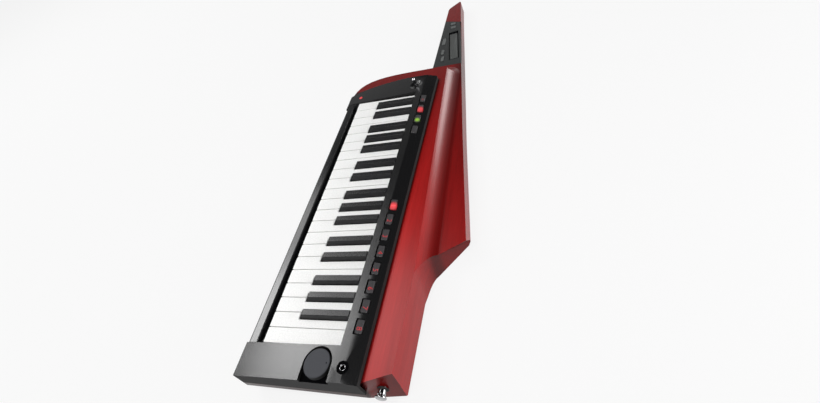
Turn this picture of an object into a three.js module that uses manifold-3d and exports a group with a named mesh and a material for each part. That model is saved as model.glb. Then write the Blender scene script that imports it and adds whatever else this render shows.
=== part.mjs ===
// Keytar with 37 small keys: a stained wood body with a horn and a neck, a black front panel,
// a long ribbon along the key fronts and a short one on the neck. Millimetres, +Z out of the front.
// +X runs from the neck to the volume knob, +Y from the key fronts to the horn.
import * as THREE from "three";
import { mergeVertices } from "three/addons/utils/BufferGeometryUtils.js";
import Module from "manifold-3d";

const wasm = await Module();
wasm.setup();

// Keyboard
const KEY_PITCH = 20.4;
const WHITE_KEY_COUNT = 22;
const KEY_GAP = 0.9;
const KEY_TOP_Z = 50;
const KEY_THICKNESS = 14;
const KEY_CORNER_RADIUS = 1.4;
const WHITE_KEY_LENGTH = 114.8;
const BLACK_KEY_SETBACK = 41;
const BLACK_KEY_BASE_WIDTH = 11;
const BLACK_KEY_TOP_WIDTH = 8.4;
const BLACK_KEY_RISE = 7.5;
const BLACK_KEY_SLOPE = 6;
const KEY_TAIL_THICKNESS = 8;
const KEY_TAIL_WIDTH = 8;
const KEY_PIVOT_SETBACK = 19.2;
const KEY_TAIL_OVERHANG = 4;
const BLACK_KEY_SHIFT_SHARES = { c: -0.11, d: 0.12, f: -0.16, g: 0, a: 0.16 };

// Clearances shared by all pieces
const SEAT_GAP = 0.3;
const FIT_GAP = 0.4;
const CAP_GAP = 0.9;
const CUT_OVERRUN = 2;

// Wood body
const RIBBON_SEAT_WIDTH = 15;
const RIBBON_TO_KEYS = 9.5;
const END_MARGIN = 41.8;
const WOOD_TOP_Z = 46.5;
const HORN_TOP_Z = 27.5;
const NECK_TIP_REACH = 345;
const NECK_TIP_SLANT = 26;
const NECK_FRONT_Y = 118.5;
const NECK_TIP_WIDTH = 24;
const NECK_TIP_RADIUS = 8;
const ROOT_REACH = 77.5;
const ROOT_ARC_END_Y = 92;
const ROOT_CORNER_REACH = 17;
const REAR_EDGE_SAG = 2.2;
const HORN_TO_END = 196.6;
const HORN_WIDTH = 54.4;
const HORN_STOCK = 8;
const PANEL_TO_CREASE = 11.6;
const PANEL_TO_REAR = 34.4;
const REAR_DRAFT = 3.8;
const CREASE_TO_END = 145.6;
const COVE_WIDTH = 21;
const COVE_CREST_TILT_DEG = 62;
const COVE_CORNER_RADIUS = 8;
const BOTTOM_CHAMFER = 3;
const END_CHAMFER_LENGTH = 14;
const END_CHAMFER_HEIGHT = 19;
const END_CUT_FRONT_REACH = 51.2;
const END_CUT_TOP_SETBACK = 18.3;
const END_CUT_BOTTOM_SETBACK = 8;
const ROOT_ARC_SHARES = { startX: 0.86, startY: 0, endY: 0.35 };

// Pockets in the wood
const POCKET_LOW_REACH = 24;
const POCKET_END_MARGIN = 16;
const POCKET_PIVOT_MARGIN = 10.5;
const COVER_THICKNESS = 3;
const COVER_LIP = 4;
const COVER_CORNER_RADIUS = 8;
const NECK_POCKET_FLOOR_Z = 16;
const NECK_POCKET_WALL = 3;
const NECK_POCKET_END_WALL = 1.5;

// Front panel
const PANEL_FRONT_Z = 50;
const PANEL_WALL_TO_RIDGE = 12.5;
const PANEL_RIDGE_Z = 58.2;
const PANEL_RIDGE_TO_REAR = 18.9;
const PANEL_REAR_Z = 53.4;
const PANEL_THICKNESS = 2.5;
const PANEL_KEY_GAP = 1;
const PANEL_CORNER_REACH = 23.5;
const PANEL_LOW_REACH = 46.5;
const PANEL_LOW_REAR_REACH = 41.5;
const PANEL_STRAIGHT_END_SHARE = 0.68;
const PANEL_TOE_LENGTH = 12.5;
const PANEL_CORNER_RADIUS = 3;
const PANEL_ARC_SHARES = { startX: 0.63, startY: 0.16, endY: 0.55 };
const SKIRT_THICKNESS = 3;
const SKIRT_BOTTOM_Z = 28;

// Buttons on the front panel
const BUTTON_PITCH = 25.4;
const BUTTON_LENGTH = 16.4;
const BUTTON_WIDTH = 7.8;
const BUTTON_TO_PANEL_REAR = 13.9;
const BUTTON_WELL_GAP = 1.6;
const BUTTON_WELL_FRONT_GAP = 2.5;
const BUTTON_PROUD = 0.4;
const BUTTON_CAP_HEIGHT = 3.6;
const BUTTON_FLANGE = 3.2;
const BUTTON_FLANGE_THICKNESS = 1.2;
const BUTTON_CORNER_RADIUS = 1;
const FUNCTION_BUTTON_COUNT = 4;
const FUNCTION_BUTTON_X = 21.6;
const FAVOURITE_BUTTON_COUNT = 8;
const FAVOURITE_BUTTONS_TO_KEYS_END = 199.8;

// Volume knob, jack and toggle
const KNOB_TO_END = 19.6;
const KNOB_TO_WALL = 24.6;
const KNOB_RADIUS = 17;
const KNOB_HEIGHT = 7;
const KNOB_EDGE = 0.8;
const KNOB_RECESS_GAP = 2.7;
const KNOB_RECESS_FLOOR_Z = 50;
const KNOB_SHAFT_RADIUS = 3;
const KNOB_SHAFT_LENGTH = 3.6;
const JACK_TO_END = 16.6;
const JACK_TO_PANEL_REAR = 20.7;
const JACK_RADIUS = 5.6;
const TOGGLE_REACH = 20.3;
const TOGGLE_TO_WALL = 4.8;
const TOGGLE_PIVOT_Z = 52;
const TOGGLE_TOP_Z = 71;
const TOGGLE_BALL_RADIUS = 2.6;
const TOGGLE_TIP_RADIUS = 2.4;
const TOGGLE_NECK_RADIUS = 1.2;
const TOGGLE_BORE_RADIUS = 5.4;
const TOGGLE_DISH_RADIUS = 11.5;
const TOGGLE_DISH_DEPTH = 3.3;
const DISH_STEPS = 7;

// Long ribbon
const RIBBON_HEIGHT = 12;
const RIBBON_SETBACK = 1.5;
const RIBBON_OUTER_RADIUS = 3;
const RIBBON_INNER_RADIUS = 1;
const APRON_THICKNESS = 2;
const APRON_BOTTOM_Z = 24;
const RIBBON_END_GAP = 1.2;

// Neck panel, its ribbon and its buttons
const NECK_PANEL_THICKNESS = 3;
const NECK_PANEL_TO_TIP = 76;
const NECK_PANEL_TO_ROOT = 28.5;
const NECK_PANEL_SLANT_SHARE = 0.38;
const SHORT_RIBBON_TO_ROCKER = 20.5;
const SHORT_RIBBON_TO_PANEL_END = 19;
const SHORT_RIBBON_TO_REAR_EDGE = 15.3;
const SHORT_RIBBON_WIDTH = 16;
const SHORT_RIBBON_TILT_DEG = 8.7;
const SHORT_RIBBON_SLOT = 2;
const SHORT_RIBBON_SLOT_END = 8;
const SHORT_RIBBON_DEPTH = 1.4;
const SHORT_RIBBON_RISE = 0.8;
const NECK_BUTTON_PROUD = 0.6;
const NECK_WEB_THICKNESS = 1.6;
const NECK_WEB_Z = 20;
const NECK_WEB_MARGIN = 1;
const NECK_FLANGE = 2;
const FULCRUM_WIDTH = 3;
const VALUE_CAP = { length: 7.6, width: 11, toTip: 98.8, toFront: 20.5 };
const VALUE_CAP_STEP = { along: 13.8, across: 2 };
const OCTAVE_CAP = { length: 15, width: 6, toRoot: 63.7, toFront: 13.8 };
const OCTAVE_CAP_STEP = { along: 23, across: 3.4 };
const ARPEGGIO_CAP = { length: 22, width: 7, toRoot: 113, toFront: 9.1 };

// Key frame
const FRAME_BASE_THICKNESS = 2.5;
const FRAME_RIB_THICKNESS = 3;
const FRAME_MARGIN = 3;
const FRAME_FRONT_REACH = 5;
const STOP_RAIL_Y = 4;
const STOP_RAIL_WIDTH = 6;
const STOP_RAIL_TOP_Z = 28.6;
const FRAME_RIB_TOP_Z = 18;
const FRAME_RIB_COUNT = 4;

// Strap pin
const STRAP_PIN_TO_REAR = 16.6;
const STRAP_PIN_Z = 27;
const STRAP_PIN_HEAD_RADIUS = 6.5;
const STRAP_PIN_NECK_RADIUS = 3.2;
const STRAP_PIN_BASE_RADIUS = 4.7;
const STRAP_PIN_PROUD = 3;
const STRAP_PIN_NECK_LENGTH = 2.4;
const STRAP_PIN_HEAD_THICKNESS = 2.6;

// Places that follow from the sizes above
const KEYBED_LENGTH = KEY_PITCH * WHITE_KEY_COUNT;
const KEY_BOTTOM_Z = KEY_TOP_Z - KEY_THICKNESS;
const KEY_PIVOT_Y = WHITE_KEY_LENGTH + KEY_PIVOT_SETBACK;
const BODY_FRONT_Y = -(RIBBON_SEAT_WIDTH + RIBBON_TO_KEYS);
const END_X = KEYBED_LENGTH + END_MARGIN;
const RIBBON_BOTTOM_Z = KEY_TOP_Z - RIBBON_HEIGHT;
const WALL_Y = WHITE_KEY_LENGTH + PANEL_KEY_GAP;
const PANEL_RIDGE_Y = WALL_Y + PANEL_WALL_TO_RIDGE;
const PANEL_REAR_Y = PANEL_RIDGE_Y + PANEL_RIDGE_TO_REAR;
const PANEL_STRAIGHT_END_Y = BODY_FRONT_Y + PANEL_STRAIGHT_END_SHARE * (PANEL_REAR_Y - BODY_FRONT_Y);
const OPENING_LOW_X = -KEY_GAP;
const OPENING_HIGH_X = KEYBED_LENGTH + KEY_GAP;
const POCKET_FRONT_Y = -(RIBBON_TO_KEYS + APRON_THICKNESS + SEAT_GAP);
const POCKET_HIGH_X = END_X - POCKET_END_MARGIN;
const POCKET_REAR_Y = KEY_PIVOT_Y + POCKET_PIVOT_MARGIN;
const CREASE_ROOT_Y = PANEL_REAR_Y + PANEL_TO_CREASE;
const CREASE_END_X = END_X - CREASE_TO_END;
const BODY_REAR_Y = PANEL_REAR_Y + PANEL_TO_REAR;
const HORN_CORNER_X = END_X - HORN_TO_END;
const HORN_CORNER_Y = BODY_REAR_Y + HORN_WIDTH;
const NECK_TIP_REAR_Y = NECK_FRONT_Y + NECK_TIP_WIDTH;
const NECK_PANEL_LOW_X = NECK_PANEL_TO_TIP - NECK_TIP_REACH;
const NECK_PANEL_HIGH_X = -ROOT_REACH - NECK_PANEL_TO_ROOT;
const BUTTON_CENTRE_Y = PANEL_REAR_Y - BUTTON_TO_PANEL_REAR;
const FAVOURITE_BUTTON_X = KEYBED_LENGTH - FAVOURITE_BUTTONS_TO_KEYS_END;

// The horn's slanting cut, as steps from the horn's corner: along its foot, its edge and its crest
const HORN_CUT_FOOT = { cornerX: -12, cornerY: -4.8, bendX: 35, bendY: -40, sideX: 68 };
const HORN_CUT_EDGE = { cornerX: -1, cornerY: -0.5, bendX: 22.6, bendY: -40, sideX: 62 };
const HORN_CUT_CREST = { cornerX: -1, cornerY: -0.5, bendX: 22.6, bendY: -40, sideX: 56 };
const HORN_CUT_RUNOUT_SHARE = 0.3;
const HORN_CUT_CURVE_SHARES = { along: 0.2, across: 0.25 };

// Counts of steps and sides, and the notes of one octave
const PLAIN_STEPS = 8;
const BODY_PLAN_STEPS = 10;
const PANEL_PLAN_STEPS = 12;
const RIBBON_STEPS = 6;
const KEY_STEPS = 3;
const CAP_STEPS = 2;
const HOLE_SEGMENTS = 40;
const COVE_STEPS = 8;
const REAR_EDGE_STEPS = 9;
const HORN_CUT_STEPS = 6;
const CORNER_SEGMENTS = 32;
const PIN_SEGMENTS = 24;
const KNOB_SEGMENTS = 48;
const LEVER_SEGMENTS = 16;
const BALL_STEPS = 4;
const BALL_TURN_SHARE = 0.8;
const WHITE_NOTES = ["c", "d", "e", "f", "g", "a", "b"];

// Finishes
function finish(colour, roughness, metalness = 0) {
  return new THREE.MeshStandardMaterial({ color: colour, roughness, metalness });
}

const FINISHES = {
  wood: finish(0x9c1c1c, 0.35),
  panel: finish(0x15161a, 0.22),
  back: finish(0x18181a, 0.6),
  frame: finish(0x3a3c40, 0.6),
  whiteKey: finish(0xf1f0ec, 0.3),
  blackKey: finish(0x121214, 0.25),
  smoke: finish(0x6d6468, 0.25),
  rubber: finish(0x4a4c50, 0.55),
  ribbon: finish(0x202226, 0.2),
  knob: finish(0x34373f, 0.4),
  chrome: finish(0xd8dade, 0.12, 1),
};

// Solids and their joins
function toSolid(geometry) {
  const bare = geometry.clone();
  bare.deleteAttribute("normal");
  bare.deleteAttribute("uv");
  const merged = mergeVertices(bare);
  return new wasm.Manifold(new wasm.Mesh({
    numProp: 3,
    vertProperties: new Float32Array(merged.attributes.position.array),
    triVerts: new Uint32Array(merged.index.array),
  }));
}

function toGeometry(manifold) {
  const result = manifold.getMesh();
  const geometry = new THREE.BufferGeometry();
  geometry.setAttribute("position", new THREE.BufferAttribute(new Float32Array(result.vertProperties), 3));
  geometry.setIndex(new THREE.BufferAttribute(new Uint32Array(result.triVerts), 1));
  geometry.computeVertexNormals();
  return geometry;
}

function join(...solids) {
  return solids.reduce((whole, piece) => whole.add(piece));
}

function cut(whole, ...cutters) {
  return cutters.reduce((rest, cutter) => rest.subtract(cutter), whole);
}

// A shape in plan, raised from one height to another
function prism(shape, lowZ, highZ, curveSegments = PLAIN_STEPS) {
  const depth = highZ - lowZ;
  const geometry = new THREE.ExtrudeGeometry(shape, { depth, bevelEnabled: false, curveSegments });
  return toSolid(geometry.translate(0, 0, lowZ));
}

// A shape drawn in Y and Z, run along X
function bar(shape, lowX, highX, curveSegments = PLAIN_STEPS) {
  const depth = highX - lowX;
  const geometry = new THREE.ExtrudeGeometry(shape, { depth, bevelEnabled: false, curveSegments });
  const alongX = new THREE.Matrix4().makeBasis(
    new THREE.Vector3(0, 1, 0), new THREE.Vector3(0, 0, 1), new THREE.Vector3(1, 0, 0));
  return toSolid(geometry.applyMatrix4(alongX).translate(lowX, 0, 0));
}

function block(low, high) {
  const geometry = new THREE.BoxGeometry(high[0] - low[0], high[1] - low[1], high[2] - low[2]);
  return toSolid(geometry.translate((low[0] + high[0]) / 2, (low[1] + high[1]) / 2, (low[2] + high[2]) / 2));
}

function outline(points) {
  return new THREE.Shape(points.map(([x, y]) => new THREE.Vector2(x, y)));
}

// A rectangle with round corners, about its centre
function roundedRectangle(x, y, length, width, radius) {
  const shape = new THREE.Shape();
  const right = x + length / 2;
  const left = x - length / 2;
  const top = y + width / 2;
  const bottom = y - width / 2;
  shape.moveTo(left + radius, bottom);
  shape.lineTo(right - radius, bottom);
  shape.absarc(right - radius, bottom + radius, radius, -Math.PI / 2, 0);
  shape.lineTo(right, top - radius);
  shape.absarc(right - radius, top - radius, radius, 0, Math.PI / 2);
  shape.lineTo(left + radius, top);
  shape.absarc(left + radius, top - radius, radius, Math.PI / 2, Math.PI);
  shape.lineTo(left, bottom + radius);
  shape.absarc(left + radius, bottom + radius, radius, Math.PI, 1.5 * Math.PI);
  return shape;
}

// A block between two rectangles at two heights, for tapered pieces
function taperedBlock(lower, upper) {
  const corners = [];
  for (const face of [lower, upper]) {
    corners.push([face.lowX, face.lowY, face.z], [face.highX, face.lowY, face.z]);
    corners.push([face.highX, face.highY, face.z], [face.lowX, face.highY, face.z]);
  }
  const geometry = new THREE.BufferGeometry();
  geometry.setAttribute("position", new THREE.Float32BufferAttribute(corners.flat(), 3));
  const sides = [0, 1, 2, 3].flatMap((i) => {
    const next = (i + 1) % 4;
    return [i, next, next + 4, i, next + 4, i + 4];
  });
  geometry.setIndex([0, 2, 1, 0, 3, 2, 4, 5, 6, 4, 6, 7, ...sides]);
  return toSolid(geometry);
}

// A turned piece about a vertical axis, from a profile of radius and height
function turned(profile, x, y, segments) {
  const points = profile.map(([radius, z]) => new THREE.Vector2(radius, z));
  const geometry = new THREE.LatheGeometry(points, segments);
  return toSolid(geometry.rotateX(Math.PI / 2).translate(x, y, 0));
}

function disc(x, y, radius, lowZ, highZ) {
  return turned([[0, lowZ], [radius, lowZ], [radius, highZ], [0, highZ]], x, y, HOLE_SEGMENTS);
}

const keytar = new THREE.Group();

function addPiece(name, solidPiece, material) {
  const mesh = new THREE.Mesh(toGeometry(solidPiece), material);
  mesh.name = name;
  keytar.add(mesh);
}

// Height of the front panel's broad roof, which rises from its front edge to the ridge
function roofZ(y) {
  const share = (y - BODY_FRONT_Y) / (PANEL_RIDGE_Y - BODY_FRONT_Y);
  return PANEL_FRONT_Z + (PANEL_RIDGE_Z - PANEL_FRONT_Z) * share;
}

// Height of the front panel's outer slope, which falls from the ridge behind the keys
function outerSlopeZ(y) {
  const share = (y - PANEL_RIDGE_Y) / (PANEL_REAR_Y - PANEL_RIDGE_Y);
  return PANEL_RIDGE_Z + (PANEL_REAR_Z - PANEL_RIDGE_Z) * share;
}

// The neck and horn share one rear edge, almost straight
function rearEdgeY(x) {
  const share = (x + NECK_TIP_REACH) / (HORN_CORNER_X + NECK_TIP_REACH);
  const sag = 4 * REAR_EDGE_SAG * share * (1 - share);
  return NECK_TIP_REAR_Y + (HORN_CORNER_Y - NECK_TIP_REAR_Y) * share - sag;
}

// A corner beside the low keys, one curve from a straight side to the front edge
function lowCorner(shape, reach, cornerReach, endY, shares) {
  const depth = endY - BODY_FRONT_Y;
  const span = reach - cornerReach;
  shape.bezierCurveTo(
    -reach, BODY_FRONT_Y + depth * shares.endY,
    -(cornerReach + span * shares.startX), BODY_FRONT_Y + depth * shares.startY,
    -cornerReach, BODY_FRONT_Y);
}

// Plan of the whole wood body: front edge, end, horn, neck, and the corner beside the low keys
function bodyPlan(tipRadius) {
  const shape = new THREE.Shape();
  const neckCornerX = NECK_TIP_SLANT - NECK_TIP_REACH;
  const tipX = -NECK_TIP_REACH;
  const stockX = HORN_CORNER_X + HORN_STOCK;
  shape.moveTo(-ROOT_CORNER_REACH, BODY_FRONT_Y);
  shape.lineTo(END_X, BODY_FRONT_Y);
  shape.lineTo(END_X, BODY_REAR_Y + REAR_DRAFT);
  shape.lineTo(stockX + HORN_CUT_FOOT.sideX, BODY_REAR_Y + REAR_DRAFT);
  shape.lineTo(stockX + HORN_CUT_FOOT.bendX, HORN_CORNER_Y + HORN_CUT_FOOT.bendY);
  for (let step = 0; step < REAR_EDGE_STEPS; step += 1) {
    const x = stockX - (stockX + NECK_TIP_REACH) * step / REAR_EDGE_STEPS;
    shape.lineTo(x, rearEdgeY(x));
  }
  if (tipRadius > 0) {
    shape.lineTo(tipX + tipRadius, rearEdgeY(tipX + tipRadius));
    shape.quadraticCurveTo(tipX, NECK_TIP_REAR_Y, tipX + tipRadius / 2, NECK_TIP_REAR_Y - tipRadius);
    shape.lineTo(neckCornerX - tipRadius / 2, NECK_FRONT_Y + tipRadius / 2);
    shape.quadraticCurveTo(neckCornerX, NECK_FRONT_Y, neckCornerX + tipRadius, NECK_FRONT_Y);
  } else {
    shape.lineTo(tipX, NECK_TIP_REAR_Y);
    shape.lineTo(neckCornerX, NECK_FRONT_Y);
  }
  shape.lineTo(-ROOT_REACH, NECK_FRONT_Y);
  shape.lineTo(-ROOT_REACH, ROOT_ARC_END_Y);
  lowCorner(shape, ROOT_REACH, ROOT_CORNER_REACH, ROOT_ARC_END_Y, ROOT_ARC_SHARES);
  return shape;
}

// The body's outer block up to a height, with a chamfer round its back edge
function bodyBlock(topZ) {
  const geometry = new THREE.ExtrudeGeometry(bodyPlan(0), {
    depth: topZ,
    bevelThickness: BOTTOM_CHAMFER,
    bevelSize: BOTTOM_CHAMFER,
    bevelOffset: -BOTTOM_CHAMFER,
    bevelSegments: 1,
    curveSegments: BODY_PLAN_STEPS,
  });
  const chamfered = toSolid(geometry.translate(0, 0, BOTTOM_CHAMFER));
  return chamfered.intersect(prism(bodyPlan(NECK_TIP_RADIUS), -CUT_OVERRUN, topZ, BODY_PLAN_STEPS));
}

// The hollow fillet profile between the raised body and the low horn, as distance and height
function coveProfile() {
  const drop = WOOD_TOP_Z - HORN_TOP_Z;
  const points = [];
  const crestTilt = THREE.MathUtils.degToRad(COVE_CREST_TILT_DEG);
  const footTilt = 2 * Math.atan2(drop, COVE_WIDTH) - crestTilt;
  const radius = drop / (Math.cos(footTilt) - Math.cos(crestTilt));
  for (let step = 0; step <= COVE_STEPS; step += 1) {
    const tilt = crestTilt + (footTilt - crestTilt) * step / COVE_STEPS;
    points.push([
      radius * (Math.sin(crestTilt) - Math.sin(tilt)),
      WOOD_TOP_Z - radius * (Math.cos(tilt) - Math.cos(crestTilt)),
    ]);
  }
  return points;
}

// A cove run in a straight line in plan, on the left of its direction of travel
function straightCove(startX, startY, endX, endY) {
  const points = coveProfile().map(([distance, z]) => new THREE.Vector2(distance, z));
  const foot = points.at(-1).x;
  const shape = new THREE.Shape([
    ...points,
    new THREE.Vector2(foot, 0),
    new THREE.Vector2(-COVE_WIDTH, 0),
    new THREE.Vector2(-COVE_WIDTH, WOOD_TOP_Z),
  ]);
  const length = Math.hypot(endX - startX, endY - startY);
  const along = new THREE.Vector3((endX - startX) / length, (endY - startY) / length, 0);
  const outward = new THREE.Vector3(-along.y, along.x, 0);
  const geometry = new THREE.ExtrudeGeometry(shape, { depth: length, bevelEnabled: false });
  const placing = new THREE.Matrix4().makeBasis(outward, new THREE.Vector3(0, 0, 1), along);
  return toSolid(geometry.applyMatrix4(placing).translate(startX, startY, 0));
}

// The raised part of the body up to its crease, with the coves that fall to horn and neck
function raisedBody() {
  const slope = (BODY_REAR_Y - CREASE_ROOT_Y) / (CREASE_END_X + ROOT_REACH);
  const runoutX = HORN_CORNER_X + HORN_CUT_CREST.sideX + HORN_STOCK;
  const runoutY = BODY_REAR_Y + (runoutX - CREASE_END_X) * slope;
  const cornerX = -ROOT_REACH + COVE_CORNER_RADIUS;
  const cornerY = CREASE_ROOT_Y - COVE_CORNER_RADIUS;
  const core = prism(outline([
    [-ROOT_REACH - CUT_OVERRUN, BODY_FRONT_Y - CUT_OVERRUN],
    [END_X + CUT_OVERRUN, BODY_FRONT_Y - CUT_OVERRUN],
    [END_X + CUT_OVERRUN, HORN_CORNER_Y],
    [runoutX, HORN_CORNER_Y],
    [runoutX, runoutY],
    [cornerX, CREASE_ROOT_Y],
    [cornerX, cornerY],
    [-ROOT_REACH, cornerY],
    [-ROOT_REACH, NECK_FRONT_Y],
    [-ROOT_REACH - CUT_OVERRUN, NECK_FRONT_Y],
  ]), 0, WOOD_TOP_Z);
  const corner = turned([
    [0, 0],
    [COVE_CORNER_RADIUS + COVE_WIDTH, 0],
    ...coveProfile().reverse().map(([distance, z]) => [COVE_CORNER_RADIUS + distance, z]),
    [0, WOOD_TOP_Z],
  ], cornerX, cornerY, CORNER_SEGMENTS);
  return join(
    core,
    corner,
    straightCove(cornerX, CREASE_ROOT_Y, runoutX, runoutY),
    straightCove(-ROOT_REACH, NECK_FRONT_Y - CUT_OVERRUN, -ROOT_REACH, cornerY));
}

// One line of the wall behind horn and body, from beyond the horn's corner to beyond the end
function rearWallLine({ cornerX, cornerY, bendX, bendY, sideX }, draft) {
  const corner = new THREE.Vector2(HORN_CORNER_X + cornerX, HORN_CORNER_Y + cornerY);
  const bend = new THREE.Vector2(HORN_CORNER_X + bendX, HORN_CORNER_Y + bendY);
  const side = new THREE.Vector2(HORN_CORNER_X + sideX, BODY_REAR_Y + draft);
  const start = corner.clone().lerp(bend, -HORN_CUT_RUNOUT_SHARE);
  const path = new THREE.Path();
  path.moveTo(start.x, start.y);
  path.lineTo(bend.x, bend.y);
  path.quadraticCurveTo(
    bend.x + HORN_CUT_CURVE_SHARES.along * (side.x - bend.x),
    side.y + HORN_CUT_CURVE_SHARES.across * (bend.y - side.y),
    side.x, side.y);
  path.lineTo(END_X + HORN_STOCK, side.y);
  return path.getPoints(HORN_CUT_STEPS);
}

// Everything outside that wall, as a block drawn between its three lines
function rearWallCutter() {
  const levels = [
    { line: rearWallLine(HORN_CUT_FOOT, REAR_DRAFT), z: -CUT_OVERRUN },
    { line: rearWallLine(HORN_CUT_FOOT, REAR_DRAFT), z: 0 },
    { line: rearWallLine(HORN_CUT_EDGE, REAR_DRAFT / 2), z: HORN_TOP_Z },
    { line: rearWallLine(HORN_CUT_CREST, 0), z: WOOD_TOP_Z },
    { line: rearWallLine(HORN_CUT_CREST, 0), z: WOOD_TOP_Z + CUT_OVERRUN },
  ];
  const count = levels[0].line.length;
  const ring = levels.length * 2;
  const vertices = [];
  for (let i = 0; i < count; i += 1) {
    const inner = levels.map(({ line, z }) => [line[i].x, line[i].y, z]);
    const outer = inner.map(([x, y, z]) => [x + HORN_CORNER_Y, y + HORN_CORNER_Y, z]).reverse();
    vertices.push(...inner, ...outer);
  }
  const triangles = [];
  for (let i = 0; i < count - 1; i += 1) {
    for (let j = 0; j < ring; j += 1) {
      const here = i * ring + j;
      const beside = i * ring + (j + 1) % ring;
      triangles.push(here, beside + ring, beside, here, here + ring, beside + ring);
    }
  }
  for (let j = 0; j < levels.length - 1; j += 1) {
    const across = ring - 1 - j;
    const last = (count - 1) * ring;
    triangles.push(j, j + 1, across, j + 1, across - 1, across);
    triangles.push(last + j, last + across, last + j + 1, last + j + 1, last + across, last + across - 1);
  }
  const geometry = new THREE.BufferGeometry();
  geometry.setAttribute("position", new THREE.Float32BufferAttribute(vertices.flat(), 3));
  geometry.setIndex(triangles);
  return toSolid(geometry);
}

// A wide slanting cutter for the body's end behind the panel, through three corners of that face
function endCutter() {
  const topFront = new THREE.Vector3(END_X, BODY_REAR_Y - END_CUT_FRONT_REACH, WOOD_TOP_Z);
  const topRear = new THREE.Vector3(END_X - END_CUT_TOP_SETBACK, BODY_REAR_Y, WOOD_TOP_Z);
  const bottomRear = new THREE.Vector3(END_X - END_CUT_BOTTOM_SETBACK, BODY_REAR_Y, 0);
  const along = topRear.clone().sub(topFront).normalize();
  const down = bottomRear.clone().sub(topRear);
  const out = new THREE.Vector3().crossVectors(down, along).normalize();
  const up = new THREE.Vector3().crossVectors(out, along);
  const size = BODY_REAR_Y;
  const geometry = new THREE.BoxGeometry(size, size, size);
  geometry.translate(0, 0, size / 2);
  geometry.applyMatrix4(new THREE.Matrix4().makeBasis(along, up, out));
  return toSolid(geometry.translate(topRear.x, topRear.y, topRear.z));
}

// The chamfer under the body's end, deeper than the one round the rest of the back
function endChamferCutter() {
  const outerX = END_X + CUT_OVERRUN;
  const shape = outline([
    [outerX, END_CHAMFER_HEIGHT + CUT_OVERRUN * END_CHAMFER_HEIGHT / END_CHAMFER_LENGTH],
    [outerX, -CUT_OVERRUN],
    [END_X - END_CHAMFER_LENGTH - CUT_OVERRUN, -CUT_OVERRUN],
    [END_X - END_CHAMFER_LENGTH, 0],
  ]);
  const rearY = BODY_REAR_Y + REAR_DRAFT + CUT_OVERRUN;
  const frontY = BODY_FRONT_Y - CUT_OVERRUN;
  const geometry = new THREE.ExtrudeGeometry(shape, { depth: rearY - frontY, bevelEnabled: false });
  const placing = new THREE.Matrix4().makeBasis(
    new THREE.Vector3(1, 0, 0), new THREE.Vector3(0, 0, 1), new THREE.Vector3(0, -1, 0));
  return toSolid(geometry.applyMatrix4(placing).translate(0, rearY, 0));
}

// Plan of the neck panel, which follows the neck's own edges and slants towards the tip
function neckPanelLowX(y) {
  return NECK_PANEL_LOW_X + NECK_PANEL_SLANT_SHARE * (y - NECK_FRONT_Y);
}

function neckPanelPlan(endInset, sideInset) {
  const frontY = NECK_FRONT_Y + sideInset;
  const rearY = rearEdgeY(NECK_PANEL_LOW_X) - sideInset;
  const high = NECK_PANEL_HIGH_X - endInset;
  return outline([
    [neckPanelLowX(frontY) + endInset, frontY],
    [high, frontY],
    [high, rearEdgeY(high) - sideInset],
    [neckPanelLowX(rearY) + endInset, rearY],
  ]);
}

// Centre of a cap or rocker on the neck, placed from the neck's tip or from its root
function neckPlace(cap) {
  const x = "toTip" in cap ? cap.toTip - NECK_TIP_REACH : -ROOT_REACH - cap.toRoot;
  return { x, y: NECK_FRONT_Y + cap.toFront };
}

// Centres of a rocker's two caps, either side of its own
function rockerPlaces(cap, step) {
  const { x, y } = neckPlace(cap);
  return [
    { x: x - step.along / 2, y: y - step.across / 2 },
    { x: x + step.along / 2, y: y + step.across / 2 },
  ];
}

// A post of the neck pocket that a rocker tilts on
function fulcrum(cap) {
  const { x, y } = neckPlace(cap);
  return block(
    [x - FULCRUM_WIDTH / 2, y - cap.width / 2, NECK_POCKET_FLOOR_Z - CUT_OVERRUN],
    [x + FULCRUM_WIDTH / 2, y + cap.width / 2, NECK_WEB_Z - SEAT_GAP]);
}

function strapPin() {
  const headX = END_X + STRAP_PIN_PROUD;
  const neckEndX = headX - STRAP_PIN_HEAD_THICKNESS;
  const faceX = neckEndX - STRAP_PIN_NECK_LENGTH;
  const innerX = END_X - END_CUT_TOP_SETBACK;
  const profile = [
    [0, innerX],
    [STRAP_PIN_BASE_RADIUS, innerX],
    [STRAP_PIN_BASE_RADIUS, faceX],
    [STRAP_PIN_NECK_RADIUS, (faceX + neckEndX) / 2],
    [STRAP_PIN_HEAD_RADIUS, neckEndX],
    [STRAP_PIN_HEAD_RADIUS, neckEndX + STRAP_PIN_HEAD_THICKNESS / 2],
    [STRAP_PIN_NECK_RADIUS, headX],
    [0, headX],
  ];
  const points = profile.map(([radius, x]) => new THREE.Vector2(radius, x));
  const geometry = new THREE.LatheGeometry(points, PIN_SEGMENTS);
  return toSolid(geometry.rotateZ(-Math.PI / 2).translate(0, BODY_REAR_Y - STRAP_PIN_TO_REAR, STRAP_PIN_Z));
}

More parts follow.
